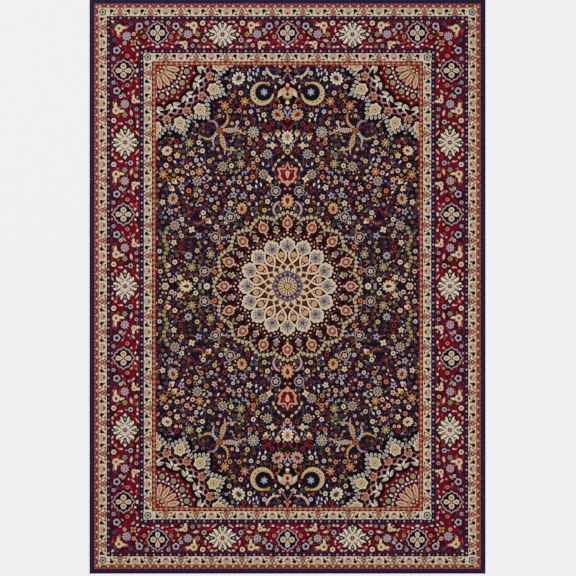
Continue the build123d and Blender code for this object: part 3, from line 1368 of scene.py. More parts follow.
@dataclass
class Cartoon:
    """The knot plan of the whole rug.

    Args:
        layout: The rug's zones.
    """

    layout: Layout
    step: float = field(init=False)

    def __post_init__(self) -> None:
        """Works out the step of the plan."""
        self.step = self.layout.knot / STEPS_PER_KNOT

    def paint(self) -> NDArray[np.float32]:
        """Paints one quarter and mirrors it.

        Returns:
            The linear colour of every knot, in rows from the rug's front left corner.
        """
        rows = round(self.layout.length / 2 / self.step)
        cols = round(self.layout.width / 2 / self.step)
        code = np.zeros((rows, cols), np.uint8)
        quarter = Cloth(code, self.step)
        layout = self.layout
        Field(layout).paint(quarter)
        Medallion(layout.medallion_tip, layout.medallion_valley).paint(Cloth(code[::-1, ::-1], self.step))
        inset = round(layout.insets[-1] / self.step)
        corner_cloth = Cloth(code[inset:, inset:], self.step)
        CornerPiece(layout.corner_tip, layout.corner_valley).paint(corner_cloth)
        end = Run(Cloth(code[:, ::-1], self.step), layout.width / 2, True)
        side = Run(Cloth(code[::-1].T, self.step), layout.length / 2, False)
        border = MainBorder()
        for run in (end, side):
            for band, pattern in self.bands(border).items():
                pattern.paint(run, *layout.span(band))
        border.corner(quarter, layout.span("main_border")[0])
        self.guard_corners(quarter)
        return self.knots(code)

    def bands(self, border: MainBorder) -> dict[str, "BandPattern"]:
        """The pattern of every band, from the outline inwards."""
        return {
            "edge_band": PlainBand(EDGE_NAVY),
            "outer_stripe": SwagStripe(42.0),
            "outer_guard": GuardStripe(0.5),
            "outer_pinstripe": DottedStripe(),
            "main_border": border,
            "inner_pinstripe": DottedStripe(),
            "inner_guard": GuardStripe(0.0),
            "inner_stripe": SwagStripe(26.0, BRICK, RUST, BLACK),
        }

    def guard_corners(self, quarter: Cloth) -> None:
        """Sets a flower on the mitre of both ivory guards."""
        for band in ("outer_guard", "inner_guard"):
            start, end = self.layout.span(band)
            keep = np.minimum(quarter.place.real, quarter.place.imag) >= start
            keep &= np.minimum(quarter.place.real, quarter.place.imag) < end
            at = (start + 0.52 * (end - start)) * (1+1j)
            quarter.stamp(spot(BONE, 26, 26), at, 1+1j, 30, keep)
            quarter.stamp(eye(GREY, 14, BRICK), at, 1+1j, 30, keep)

    def knots(self, code: NDArray[np.uint8]) -> NDArray[np.float32]:
        """Mirrors the quarter twice and mixes each knot from its steps."""
        seen = np.array([yarn.value for yarn in PALETTE])
        linear = np.where(seen > 0.04045, ((seen + 0.055) / 1.055) ** 2.4, seen / 12.92)
        grey = linear @ np.array([0.2126, 0.7152, 0.0722])
        linear = (grey[:, None] + (linear - grey[:, None]) * RICHNESS).clip(0.002, 0.92)
        quarter = linear[code]
        half = np.concatenate([quarter, quarter[::-1]], axis=0)
        whole = np.concatenate([half, half[:, ::-1]], axis=1)[::-1]
        rows, cols = (side // STEPS_PER_KNOT for side in whole.shape[:2])
        blocks = whole.reshape(rows, STEPS_PER_KNOT, cols, STEPS_PER_KNOT, 3)
        return blocks.mean(axis=(1, 3)).astype(np.float32)


BandPattern = PlainBand | SwagStripe | DottedStripe | GuardStripe | MainBorder


# ---- Finishes ----


class Wire:
    """A shader output that Python arithmetic can be done on."""

    def __init__(self, graph: "Graph", socket: bpy.types.NodeSocket) -> None:
        """Wraps an output socket of a graph's node."""
        self.graph = graph
        self.socket = socket

    def maths(self, operation: str, *others: "Wire | float") -> "Wire":
        """Adds one Math node that starts from this wire."""
        return self.graph.maths(operation, self, *others)

    def __add__(self, other: "Wire | float") -> "Wire":
        """Adds."""
        return self.maths("ADD", other)

    def __sub__(self, other: "Wire | float") -> "Wire":
        """Subtracts."""
        return self.maths("SUBTRACT", other)

    def __rsub__(self, other: float) -> "Wire":
        """Subtracts from a number."""
        return self.graph.maths("SUBTRACT", other, self)

    def __mul__(self, other: "Wire | float") -> "Wire":
        """Multiplies."""
        return self.maths("MULTIPLY", other)

    def __truediv__(self, other: "Wire | float") -> "Wire":
        """Divides."""
        return self.maths("DIVIDE", other)

    def __pow__(self, other: float) -> "Wire":
        """Raises to a power."""
        return self.maths("POWER", other)

    __radd__ = __add__
    __rmul__ = __mul__


class Graph:
    """One material and its nodes."""

    def __init__(self, name: str) -> None:
        """Starts an empty material."""
        self.material = bpy.data.materials.new(name)
        self.material.use_nodes = True
        self.tree = self.material.node_tree
        self.tree.nodes.clear()

    def node(
        self, kind: str, settings: dict | None = None, inputs: dict[str | int, object] | None = None
    ) -> bpy.types.Node:
        """Adds any node.

        Args:
            kind: The node's type, without its ShaderNode prefix.
            settings: Its own settings, which are set first.
            inputs: The value or the wire of each of its sockets, by name or by place.

        Returns:
            The node.
        """
        made = self.tree.nodes.new(f"ShaderNode{kind}")
        for key, value in (settings or {}).items():
            setattr(made, key, value)
        for key, value in (inputs or {}).items():
            if isinstance(value, Wire):
                self.tree.links.new(value.socket, made.inputs[key])
            else:
                made.inputs[key].default_value = value
        return made

    def wire(
        self, kind: str, output: str | int, settings: dict | None = None, inputs: dict | None = None
    ) -> Wire:
        """Adds a node and gives one of its outputs."""
        return Wire(self, self.node(kind, settings, inputs).outputs[output])

    def maths(self, operation: str, *terms: "Wire | float") -> Wire:
        """Adds one Math node."""
        return self.wire("Math", 0, {"operation": operation}, dict(enumerate(terms)))

    def place(self) -> Wire:
        """The Object coordinates, in metres."""
        return self.wire("TexCoord", "Object")

    def axes(self) -> tuple[Wire, Wire, Wire]:
        """The three Object coordinates apart."""
        parts = self.node("SeparateXYZ", None, {0: self.place()})
        return tuple(Wire(self, parts.outputs[axis]) for axis in range(3))

    def noise(
        self, scale: float, detail: float = 2.0, stretch: tuple[float, float, float] = (1, 1, 1)
    ) -> Wire:
        """Noise from 0 to 1 on the Object coordinates.

        Args:
            scale: How many features there are to a metre.
            detail: How many finer layers it has.
            stretch: How much finer it is along each axis.

        Returns:
            The noise's factor.
        """
        mapped = self.wire("Mapping", 0, None, {0: self.place(), "Scale": stretch})
        return self.wire("TexNoise", "Fac", None, {"Vector": mapped, "Scale": scale, "Detail": detail})

    def wave(self, along: Wire, pitch: float, phase: float = 0.0) -> Wire:
        """A ridge from 0 to 1 that repeats along a coordinate, with a valley at the start."""
        angle = along * (2 * math.pi / pitch) + phase
        return 0.5 - angle.maths("COSINE") * 0.5

    def tint(self, colour: "Wire | tuple", factor: Wire) -> Wire:
        """Scales a colour's brightness."""
        grey = self.wire("CombineColor", 0, None, {0: factor, 1: factor, 2: factor})
        mixed = self.node("Mix", {"data_type": "RGBA", "blend_type": "MULTIPLY"}, {0: 1.0, 7: grey})
        if isinstance(colour, Wire):
            self.tree.links.new(colour.socket, mixed.inputs[6])
        else:
            mixed.inputs[6].default_value = (*colour, 1)
        return Wire(self, mixed.outputs[2])

    def blend(self, factor: Wire, first: tuple, second: tuple) -> Wire:
        """Mixes two plain colours."""
        inputs = {0: factor, 6: (*first, 1), 7: (*second, 1)}
        return self.wire("Mix", 2, {"data_type": "RGBA"}, inputs)

    def finish(
        self, colour: Wire, height: Wire, depth: float, strength: float = 0.6,
        roughness: "Wire | float" = 0.9, sheen: float = 0.0,
    ) -> Dye:
        """Ends the material in one shader.

        Args:
            colour: What it looks like.
            height: Its relief, from 0 to 1.
            depth: How deep the relief is, in metres.
            strength: How strongly the relief turns the light.
            roughness: How matt it is.
            sheen: How much its fibres catch light from the side.

        Returns:
            The finished material.
        """
        bump = self.wire("Bump", 0, None, {"Strength": strength, "Distance": depth, "Height": height})
        shader = self.wire("BsdfPrincipled", 0, None, {
            "Base Color": colour,
            "Roughness": roughness,
            "Normal": bump,
            "Specular IOR Level": 0.06,
            "Sheen Weight": sheen,
            "Sheen Roughness": 0.5,
        })
        self.node("OutputMaterial", None, {0: shader})
        return self.material


@dataclass(frozen=True)
class Pile:
    """Cut wool-like pile, one tuft to a knot.

    Args:
        knot: The pitch of the tufts, in metres.
        gap: How dark the painted shade between tufts is.
    """

    knot: float
    gap: float = 0.62
    name: str = "cut_pile"

    def material(self) -> Dye:
        """Makes the finish."""
        graph = Graph(self.name)
        x, y, _ = graph.axes()
        across = graph.wave(x, self.knot)
        along = graph.wave(y, self.knot, math.pi)
        tuft_relief_and_shade = (across * along) ** 0.35
        fibre = graph.noise(1500, 3)
        lean = graph.noise(260, 2)
        broad = graph.noise(5, 2)
        rows = graph.noise(1, 2, (2, 370, 1))
        # Painted shade: the colour is darker in the gaps between tufts and lighter on their crowns; the
        # noises add patchy lighter and darker tone.
        shade = (
            self.gap
            + tuft_relief_and_shade * (1.06 - self.gap)
            + (fibre - 0.5) * 0.34
            + (lean - 0.5) * 0.22
            + (broad - 0.5) * 0.10
            + (rows - 0.5) * 0.10
        )
        colour = graph.wire("Attribute", "Color", {"attribute_name": "cartoon"})
        height = tuft_relief_and_shade * 0.6 + fibre * 0.3 + lean * 0.35
        rough = 0.82 + (fibre - 0.5) * 0.2
        return graph.finish(graph.tint(colour, shade), height, 0.0012, 0.55, rough)


@dataclass(frozen=True)
class WoundYarn:
    """Navy yarn wound round the side edges.

    Args:
        pitch: The step from one turn to the next, in metres.
    """

    pitch: float
    base: tuple[float, float, float] = (0.020, 0.010, 0.030)
    name: str = "wound_yarn"

    def material(self) -> Dye:
        """Makes the finish."""
        graph = Graph(self.name)
        x, y, z = graph.axes()
        turn = graph.wave(y, self.pitch)
        ply = graph.wave(y + (x + z) * 0.35, self.pitch / 3)
        fibre = graph.noise(1800, 3)
        # Painted shade: the colour is darker in the grooves between turns and plies and lighter on their
        # tops; fibre noise adds random tone.
        shade = 0.55 + turn * 0.45 + ply * 0.2 + (fibre - 0.5) * 0.5
        pale = tuple(2.2 * part for part in self.base)
        colour = graph.tint(graph.blend(graph.noise(40), self.base, pale), shade)
        return graph.finish(colour, turn * 0.4 + ply * 0.4 + fibre * 0.2, 0.0008, 0.6, 0.8, 0.15)


@dataclass(frozen=True)
class Weave:
    """A plain or twilled cloth in one colour.

    Args:
        name: What the finish is called.
        base: The threads' colour.
        pitch: The step from one thread to the next, in metres.
        slant: How far the weft moves over on each pick; 0 is a plain weave.
        wear: How much lighter and darker it goes over a hand's width.
    """

    name: str
    base: tuple[float, float, float]
    pitch: float
    slant: float = 0.0
    wear: float = 0.25

    def material(self) -> Dye:
        """Makes the finish."""
        graph = Graph(self.name)
        x, y, _ = graph.axes()
        warp = graph.wave(x + y * self.slant, self.pitch)
        weft = graph.wave(y, self.pitch)
        over = graph.wave(x + y, self.pitch * 2)
        thread = warp * over + weft * (1 - over)
        fibre = graph.noise(1600, 3)
        slub = graph.noise(30, 3, (1, 12, 1))
        # Painted shade: the colour is darker where the threads dip between their neighbours and lighter
        # on their tops; fibre and slub noise add random tone.
        shade = 0.55 + thread * 0.4 + (fibre - 0.5) * 0.35 + (slub - 0.5) * self.wear
        pale = tuple(min(1.0, 1.35 * part) for part in self.base)
        colour = graph.tint(graph.blend(slub, self.base, pale), shade)
        return graph.finish(colour, thread * 0.7 + fibre * 0.3, 0.0006, 0.6, 0.88, 0.05)


@dataclass(frozen=True)
class RolledLatex:
    """A thin latex coat with the ribs of the cloth behind it.

    Args:
        rib: The pitch of the ribs, in metres.
    """

    rib: float
    base: tuple[float, float, float] = (0.56, 0.47, 0.33)
    name: str = "rolled_latex"

    def material(self) -> Dye:
        """Makes the finish."""
        graph = Graph(self.name)
        x, y, _ = graph.axes()
        ribs = graph.wave(y, self.rib)
        warp = graph.wave(x, self.rib * 2)
        smear = graph.noise(12, 4, (1, 5, 1))
        grit = graph.noise(900, 2)
        # Painted shade: the colour is darker in the valleys of the ribs and warp lines; smear and grit
        # add random tone.
        shade = 0.62 + ribs * 0.22 + warp * 0.12 + (smear - 0.5) * 0.4 + (grit - 0.5) * 0.12
        dark = tuple(0.8 * part for part in self.base)
        colour = graph.tint(graph.blend(smear, dark, self.base), shade)
        return graph.finish(colour, ribs * 0.6 + warp * 0.3 + grit * 0.1, 0.0006, 0.5, 0.55 + smear * 0.3)


@dataclass(frozen=True)
class TwistedThread:
    """Cotton in two plies.

    Args:
        name: What the finish is called.
        base: Its colour.
        pitch: The length of one twist, in metres.
    """

    name: str
    base: tuple[float, float, float]
    pitch: float

    def material(self) -> Dye:
        """Makes the finish."""
        graph = Graph(self.name)
        x, y, z = graph.axes()
        ply = graph.wave(x + y + z, self.pitch)
        fibre = graph.noise(2500, 3)
        # Painted shade: the colour is darker in the groove between the two plies; fibre noise adds random
        # tone.
        shade = 0.6 + ply * 0.35 + (fibre - 0.5) * 0.4
        pale = tuple(min(1.0, 1.3 * part) for part in self.base)
        colour = graph.tint(graph.blend(graph.noise(60), self.base, pale), shade)
        return graph.finish(colour, ply * 0.8 + fibre * 0.2, 0.0004, 0.6, 0.85, 0.05)


# ---- Mesh work shared by the pieces ----


def deselect() -> None:
    """Leaves every object unselected, in object mode."""
    if bpy.context.object and bpy.context.object.mode != "OBJECT":
        bpy.ops.object.mode_set(mode="OBJECT")
    bpy.ops.object.select_all(action="DESELECT")


def active() -> Piece:
    """The object that was added last."""
    return bpy.context.view_layer.objects.active


def vertex_places(mesh: Mesh) -> Floats:
    """Every vertex's place, one row each."""
    found = np.empty(len(mesh.vertices) * 3)
    mesh.vertices.foreach_get("co", found)
    return found.reshape(-1, 3)


def face_values(mesh: Mesh, name: str) -> Floats:
    """Every face's middle or normal, one row each."""
    found = np.empty(len(mesh.polygons) * 3)
    mesh.polygons.foreach_get(name, found)
    return found.reshape(-1, 3)


def joined(mask: Mask) -> Mask:
    """The same knots, and one more wherever two of them touch only at a corner."""
    whole = mask.copy()
    here, right, above, across = whole[:-1, :-1], whole[:-1, 1:], whole[1:, :-1], whole[1:, 1:]
    right |= here & across & ~above
    here |= right & above & ~across
    return whole


def choose_rims() -> None:
    """Enters edit mode and selects the open edges of the active object, and only those."""
    bpy.ops.object.mode_set(mode="EDIT")
    bpy.ops.mesh.select_mode(type="EDGE")
    bpy.ops.mesh.select_all(action="DESELECT")
    bpy.ops.mesh.select_non_manifold(
        extend=False, use_wire=False, use_boundary=True, use_multi_face=False,
        use_non_contiguous=False, use_verts=False,
    )


def cap_rims() -> None:
    """Fills the selected rims, turns every face outwards and leaves edit mode."""
    bpy.ops.mesh.edge_face_add()
    bpy.ops.mesh.select_all(action="SELECT")
    bpy.ops.mesh.normals_make_consistent(inside=False)
    bpy.ops.object.mode_set(mode="OBJECT")


def choose(piece: Piece, faces: Mask) -> None:
    """Selects faces, and only those, then enters edit mode in face mode."""
    mesh = piece.data
    mesh.vertices.foreach_set("select", np.zeros(len(mesh.vertices), bool))
    mesh.edges.foreach_set("select", np.zeros(len(mesh.edges), bool))
    mesh.polygons.foreach_set("select", faces)
    bpy.ops.object.mode_set(mode="EDIT")
    bpy.ops.mesh.select_mode(type="FACE")


def apply_all(piece: Piece) -> None:
    """Applies every modifier of the active object."""
    for modifier in list(piece.modifiers):
        bpy.ops.object.modifier_apply(modifier=modifier.name)


def repeat(piece: Piece, count: int, step: tuple[float, float, float], merge: float = 0) -> None:
    """Copies the active object in a row.

    Args:
        piece: The object.
        count: How many there are then.
        step: The way from one to the next, in metres.
        merge: Within what distance the vertices of neighbours become one, in metres.
    """
    row = piece.modifiers.new("row", "ARRAY")
    row.count = count
    row.use_relative_offset = False
    row.use_constant_offset = True
    row.constant_offset_displace = step
    row.use_merge_vertices = merge > 0
    row.merge_threshold = merge
    apply_all(piece)


def settle(
    piece: Piece, name: str, finish: Dye, node: str, slot: str
) -> Piece:
    """Names a piece, puts its place into its mesh, dresses it and lets it replace its node.

    Args:
        piece: The finished object.
        name: What it is called.
        finish: Its material.
        node: The node that it stands for.
        slot: The record's slot of its finish; not used.

    Returns:
        The same object.
    """
    deselect()
    piece.select_set(True)
    bpy.context.view_layer.objects.active = piece
    bpy.ops.object.transform_apply(location=True, rotation=True, scale=True)
    piece.name = name
    piece.data.name = name
    piece.data.materials.clear()
    piece.data.materials.append(finish)
    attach(piece, "root")
    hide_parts(node)
    log.info("%s: %d faces", name, len(piece.data.polygons))
    return piece


def node_box(name: str) -> tuple[Vector, Vector]:
    """A node's lowest and highest corners, in metres."""
    low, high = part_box(name)
    return Vector(low), Vector(high)


# ---- The pile ----


@dataclass
class PileWork:
    """All the pile, cut into its zones knot by knot.

    Args:
        layout: The rug's zones.
        colours: The linear colour of every knot.
        finish: The pile's material.
        jitter: How uneven the tufts' tops are, in metres.
        crown: How far the outermost tufts lie down, in metres.
        crown_reach: How far in that is felt, in metres.
    """

    layout: Layout
    colours: NDArray[np.float32]
    finish: Dye
    jitter: float = 0.0005
    crown: float = 0.0022
    crown_reach: float = 0.004
    field_cuts: tuple[int, ...] = (-245, -122, 0, 122, 245)
    pieces: list[Piece] = field(default_factory=list)

    def __post_init__(self) -> None:
        """Works out the places of the knots."""
        rows, cols = self.colours.shape[:2]
        self.knot = self.layout.knot * MM
        self.half = Vector((cols * self.knot / 2, rows * self.knot / 2))
        self.x = (np.arange(cols) + 0.5) * self.knot - self.half.x
        self.y = (np.arange(rows) + 0.5) * self.knot - self.half.y
        low, high = node_box("field")
        self.bottom, self.top = low.z, high.z
        rng = np.random.default_rng(SEED)
        self.heights = rng.uniform(-0.5, 0.5, (rows + 1, cols + 1)) * self.jitter

    def zones(self) -> dict[str, Mask]:
        """Which knots each piece has.

        Returns:
            The knots of every zone, by the name of its node, with a number after field.
        """
        place = (self.x[None, :] + 1j * self.y[:, None]) / MM
        du = self.layout.width / 2 - abs(place.real)
        dv = self.layout.length / 2 - abs(place.imag)
        depth = np.minimum(du, dv)
        ring_of = np.searchsorted(self.layout.insets, depth)
        low, high = node_box("edge_band_left"), node_box("edge_band_right")
        inside = abs(place.real) < high[1].x / MM
        inside &= abs(place.imag) < low[1].y / MM
        found: dict[str, Mask] = {}
        on_side = du < dv
        for number, band in enumerate(BANDS):
            for side, mask in (
                ("left", on_side & (place.real < 0)),
                ("right", on_side & (place.real > 0)),
                ("front", ~on_side & (place.imag < 0)),
                ("back", ~on_side & (place.imag > 0)),
            ):
                found[f"{band}_{side}"] = (ring_of == number) & mask & inside
        middle = ring_of == len(BANDS)
        round_piece = joined(scallops(place, self.layout.medallion_tip, self.layout.medallion_valley))
        found["medallion"] = round_piece
        left_over = middle & ~round_piece
        corner = self.layout.width / 2 - self.layout.insets[-1]
        corner_y = self.layout.length / 2 - self.layout.insets[-1]
        for name in CORNERS:
            end, side = name.split("_")
            at = complex(corner if side == "right" else -corner, corner_y if end == "back" else -corner_y)
            disc_here = scallops(place - at, self.layout.corner_tip, self.layout.corner_valley)
            mask = joined(middle & disc_here)
            found[f"spandrel_{name}"] = mask
            left_over &= ~mask
        cuts = [cut + KNOTS_ACROSS // 2 for cut in self.field_cuts]
        for number, (start, stop) in enumerate(zip(cuts, cuts[1:]), 1):
            mask = np.zeros_like(left_over)
            mask[:, start:stop] = left_over[:, start:stop]
            found[f"field_{number}"] = mask
        return found

    def sheet_of(self, mask: Mask) -> Piece:
        """A flat grid with one face to a knot, cut to a zone.

        Args:
            mask: The zone's knots.

        Returns:
            The grid at the height of the pile's top.
        """
        rows, cols = np.flatnonzero(mask.any(axis=1)), np.flatnonzero(mask.any(axis=0))
        row, last_row, col, last_col = rows[0], rows[-1] + 1, cols[0], cols[-1] + 1
        deep, wide = last_row - row, last_col - col
        deselect()
        bpy.ops.mesh.primitive_grid_add(
            x_subdivisions=int(wide),
            y_subdivisions=int(deep),
            size=1,
            location=(
                (col + wide / 2) * self.knot - self.half.x,
                (row + deep / 2) * self.knot - self.half.y,
                self.top,
            ),
            scale=(1, 1, 1),
        )
        piece = active()
        piece.scale = (wide * self.knot, deep * self.knot, 1)
        bpy.ops.object.transform_apply(location=True, rotation=True, scale=True)
        at_row, at_col = self.knots_under(face_values(piece.data, "center"))
        choose(piece, ~mask[at_row, at_col])
        bpy.ops.mesh.delete(type="FACE")
        bpy.ops.object.mode_set(mode="OBJECT")
        return piece

    def knots_under(self, places: Floats) -> tuple[NDArray[np.int64], NDArray[np.int64]]:
        """The row and the column of the knot at each place."""
        rows, cols = self.colours.shape[:2]
        col = np.floor((places[:, 0] + self.half.x) / self.knot).astype(int).clip(0, cols - 1)
        row = np.floor((places[:, 1] + self.half.y) / self.knot).astype(int).clip(0, rows - 1)
        return row, col

    def raise_tufts(self, mesh: Mesh) -> None:
        """Sets each tuft's height, the same wherever two zones meet."""
        places = vertex_places(mesh)
        col = np.rint((places[:, 0] + self.half.x) / self.knot).astype(int)
        row = np.rint((places[:, 1] + self.half.y) / self.knot).astype(int)
        edge = min(self.half.x, node_box("edge_band_right")[1].x)
        end = node_box("edge_band_back")[1].y
        away = np.minimum(edge - abs(places[:, 0]), end - abs(places[:, 1])).clip(0)
        drop_down = self.crown * np.exp(-away / self.crown_reach)
        places[:, 2] = self.top - self.jitter / 2 + self.heights[row, col] - drop_down
        mesh.vertices.foreach_set("co", places.ravel())
        mesh.update()

    def close(self, piece: Piece) -> None:
        """Draws the rim down to the foundation and closes the underside."""
        choose_rims()
        bpy.ops.mesh.extrude_region_move(
            TRANSFORM_OT_translate={"value": (0, 0, self.bottom - self.top)}
        )
        bpy.ops.transform.resize(value=(1, 1, 0), center_override=(0, 0, self.bottom))
        cap_rims()

    def dye(self, mesh: Mesh) -> None:
        """Gives every face the yarn of its knot."""
        inner = face_values(mesh, "center") - face_values(mesh, "normal") * self.knot / 3
        row, col = self.knots_under(inner)
        colour = np.ones((len(mesh.polygons), 4), np.float32)
        colour[:, :3] = self.colours[row, col]
        layer = mesh.attributes.new("cartoon", "FLOAT_COLOR", "FACE")
        layer.data.foreach_set("color", colour.ravel())

    def unfold(self, mesh: Mesh) -> None:
        """Lays the piece out on its own map, a long strip folded into rows."""
        places = vertex_places(mesh)[:, :2] / self.knot
        low, size = places.min(axis=0), np.ptp(places, axis=0)
        long_way = int(size[1] >= size[0])
        rows = max(1, round(math.sqrt(max(size) / min(size))))
        row_length = math.ceil(max(size) / rows)
        count = np.empty(len(mesh.polygons), int)
        mesh.polygons.foreach_get("loop_total", count)
        corner = np.empty(len(mesh.loops), int)
        mesh.loops.foreach_get("vertex_index", corner)
        centre, normal = face_values(mesh, "center"), face_values(mesh, "normal")
        along = centre[:, long_way] / self.knot - low[long_way]
        row = np.floor(along / row_length).clip(0, rows - 1)
        owner = np.repeat(np.arange(len(mesh.polygons)), count)
        spare = 6.0
        height = min(size) + spare
        u = places[corner, long_way] - low[long_way] - row[owner] * row_length
        v = places[corner, 1 - long_way] - low[1 - long_way] + row[owner] * height + spare / 2
        depth = (self.top - vertex_places(mesh)[corner, 2]) / self.knot
        wall = (abs(normal[:, 2]) < 0.5)[owner]
        u = np.where(wall, u + normal[owner, long_way] * depth * 0.3, u)
        v = np.where(wall, v + normal[owner, 1 - long_way] * depth * 0.8, v)
        below = (normal[:, 2] < -0.5)[owner]
        u = np.where(below, u * 0.02, u)
        v = np.where(below, rows * height + spare / 2 + (v % height) * 0.02, v)
        total = (row_length + spare, rows * height + spare)
        layer = mesh.uv_layers.new(name="OFBake")
        spots = np.stack([(u + spare / 2) / total[0], v / total[1]], axis=1)
        layer.uv.foreach_set("vector", spots.clip(0.001, 0.999).astype(np.float32).ravel())

    def build(self) -> list[Piece]:
        """Builds every zone.

        Returns:
            The pieces of pile.
        """
        for name, mask in self.zones().items():
            node = "field" if name.startswith("field") else name
            piece = self.sheet_of(mask)
            self.raise_tufts(piece.data)
            self.close(piece)
            self.dye(piece.data)
            self.unfold(piece.data)
            self.pieces.append(settle(piece, f"pile_{name}", self.finish, node, slot_of(node)))
        return self.pieces


def slot_of(node: str) -> str:
    """The record's material slot of a pile node."""
    return next(slot for word, slot in PILE_SLOTS.items() if word in node)


# ---- The edges, ends and back ----


@dataclass
class SideEdge:
    """The serging of one long side: yarn wound over the cord and the edge of the cloth.

    Args:
        side: Which side it is on, left or right.
        turns: How many turns of yarn there are.
        bulge: How far a turn stands out between its grooves, in metres.
    """

    side: str
    turns: int = 720
    bulge: float = 0.0004
    arc_points: int = 11

    def profile(self, low: Vector, high: Vector) -> list[tuple[float, float]]:
        """The section's outline, from its inner lower corner round the outside.

        Args:
            low: The node's lowest corner.
            high: The node's highest corner.

        Returns:
            Places across the rug, outwards, and up.
        """
        radius = high.z / 2
        inner = min(abs(low.x), abs(high.x))
        outer = max(abs(low.x), abs(high.x)) - self.bulge
        centre = outer - radius
        ledge = node_box("foundation")[1].z + 0.0010
        points = [(inner, self.bulge), (centre, self.bulge)]
        for step in range(1, self.arc_points):
            turn = -math.pi / 2 + math.pi * 1.22 * step / self.arc_points
            reach = radius - self.bulge
            points.append((centre + radius * math.cos(turn), radius + reach * math.sin(turn)))
        points += [(centre - radius * 0.98, ledge + 0.0004), (inner, ledge)]
        return points

    def build(self, finish: Dye) -> Piece:
        """Winds the edge.

        Args:
            finish: The yarn's material.

        Returns:
            The serging.
        """
        node = f"side_overcasting_{self.side}"
        low, high = node_box(node)
        outwards = -1 if self.side == "left" else 1
        points = self.profile(low, high)
        pitch = (high.y - low.y) / self.turns
        deselect()
        bpy.ops.mesh.primitive_circle_add(
            vertices=len(points), radius=0.004, fill_type="NGON", location=(0, 0, 0)
        )
        piece = active()
        spots = [(outwards * across, low.y, up) for across, up in points]
        piece.data.vertices.foreach_set("co", np.array(spots).ravel())
        piece.data.update()
        centre = (outwards * (abs(spots[1][0])), low.y, high.z / 2)
        choose(piece, np.ones(len(piece.data.polygons), bool))
        swell = 1 + self.bulge / (high.z / 2)
        for grow in (swell, 1 / swell):
            bpy.ops.mesh.extrude_region_move(TRANSFORM_OT_translate={"value": (0, pitch / 2, 0)})
            bpy.ops.transform.resize(value=(grow, 1, grow), center_override=centre)
        bpy.ops.object.mode_set(mode="OBJECT")
        caps = abs(face_values(piece.data, "normal")[:, 1]) > 0.99
        choose(piece, caps)
        bpy.ops.mesh.delete(type="FACE")
        bpy.ops.object.mode_set(mode="OBJECT")
        repeat(piece, self.turns, (0, pitch, 0), MERGE)
        choose_rims()
        cap_rims()
        bpy.ops.object.shade_smooth_by_angle(angle=math.radians(50))
        return settle(piece, f"serging_{self.side}", finish, node, "overcast_yarn")


@dataclass
class EndBinding:
    """The folded tape and its stitches at one end.

    Args:
        end: Which end it is on, front or back.
        soft_edge: How rounded the tape's folds are, in metres.
        stitch_pitch: The step from one stitch to the next, in metres.
        stitch: A stitch's length, width and height, in metres.
    """

    end: str
    soft_edge: float = 0.0004
    stitch_pitch: float = 0.012
    stitch: tuple[float, float, float] = (0.008, 0.0012, 0.0008)

    def tape(self, finish: Dye) -> Piece:
        """Rounds the folded tape's edges.

        Args:
            finish: The tape's material.

        Returns:
            The tape.
        """
        node = f"end_tape_{self.end}"
        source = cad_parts[node]
        deselect()
        piece = source.copy()
        piece.data = source.data.copy()
        bpy.context.collection.objects.link(piece)
        piece.select_set(True)
        bpy.context.view_layer.objects.active = piece
        bpy.ops.object.mode_set(mode="EDIT")
        bpy.ops.mesh.select_all(action="SELECT")
        bpy.ops.mesh.remove_doubles(threshold=MERGE)
        bpy.ops.mesh.dissolve_limited(angle_limit=math.radians(2))
        bpy.ops.object.mode_set(mode="OBJECT")
        bevel = piece.modifiers.new("soft", "BEVEL")
        bevel.width = self.soft_edge
        bevel.segments = 2
        bevel.angle_limit = math.radians(40)
        apply_all(piece)
        bpy.ops.object.shade_smooth_by_angle(angle=math.radians(40))
        return settle(piece, f"binding_{self.end}", finish, node, "binding_tape")

    def stitches(self, finish: Dye) -> Piece:
        """Sews the row of stitches.

        Args:
            finish: The thread's material.

        Returns:
            All the stitches of this end.
        """
        node = f"tape_stitches_{self.end}"
        low, high = node_box(node)
        long, wide, tall = self.stitch
        deselect()
        bpy.ops.mesh.primitive_uv_sphere_add(
            segments=10, ring_count=8, radius=0.5, rotation=(0, math.pi / 2, 0),
            location=(low.x + long / 2, (low.y + high.y) / 2, low.z + tall * 0.28),
        )
        piece = active()
        bpy.ops.object.transform_apply(location=False, rotation=True, scale=False)
        piece.scale = (long, wide, tall * 1.44)
        bpy.ops.object.transform_apply(location=True, rotation=True, scale=True)
        bpy.ops.object.shade_smooth()
        count = round((high.x - low.x - long) / self.stitch_pitch) + 1
        repeat(piece, count, (self.stitch_pitch, 0, 0))
        return settle(piece, f"stitching_{self.end}", finish, node, "stitch_thread")


@dataclass
class Ground:
    """The cloth that holds the tufts, and the coat on its back.

    Args:
        thread: The size of the ripples that the threads leave, in metres.
        cells: How many faces the cloth has along and across.
    """

    thread: float = 0.00012
    cells: tuple[int, int] = (64, 92)

    def slab(self, node: str, name: str, slot: str, finish: Dye) -> Piece:
        """Makes a thin rippled layer in the place of a node.

        Args:
            node: The node that it stands for.
            name: The piece's name.
            slot: The record's slot of its finish.
            finish: Its material.

        Returns:
            The layer.
        """
        low, high = node_box(node)
        middle, size = (low + high) / 2, high - low
        deselect()
        bpy.ops.mesh.primitive_grid_add(
            x_subdivisions=self.cells[0], y_subdivisions=self.cells[1], size=1,
            location=(middle.x, middle.y, middle.z),
        )
        piece = active()
        piece.scale = (size.x, size.y, 1)
        bpy.ops.object.transform_apply(location=True, rotation=True, scale=True)
        places = vertex_places(piece.data)
        ripple = np.sin(places[:, 0] * 23) * np.sin(places[:, 1] * 17)
        places[:, 2] += ripple * self.thread
        piece.data.vertices.foreach_set("co", places.ravel())
        layer = piece.modifiers.new("body", "SOLIDIFY")
        layer.thickness = size.z - 2 * self.thread
        layer.offset = 0
        layer.use_even_offset = False
        apply_all(piece)
        return settle(piece, name, finish, node, slot)


# ---- The room ----


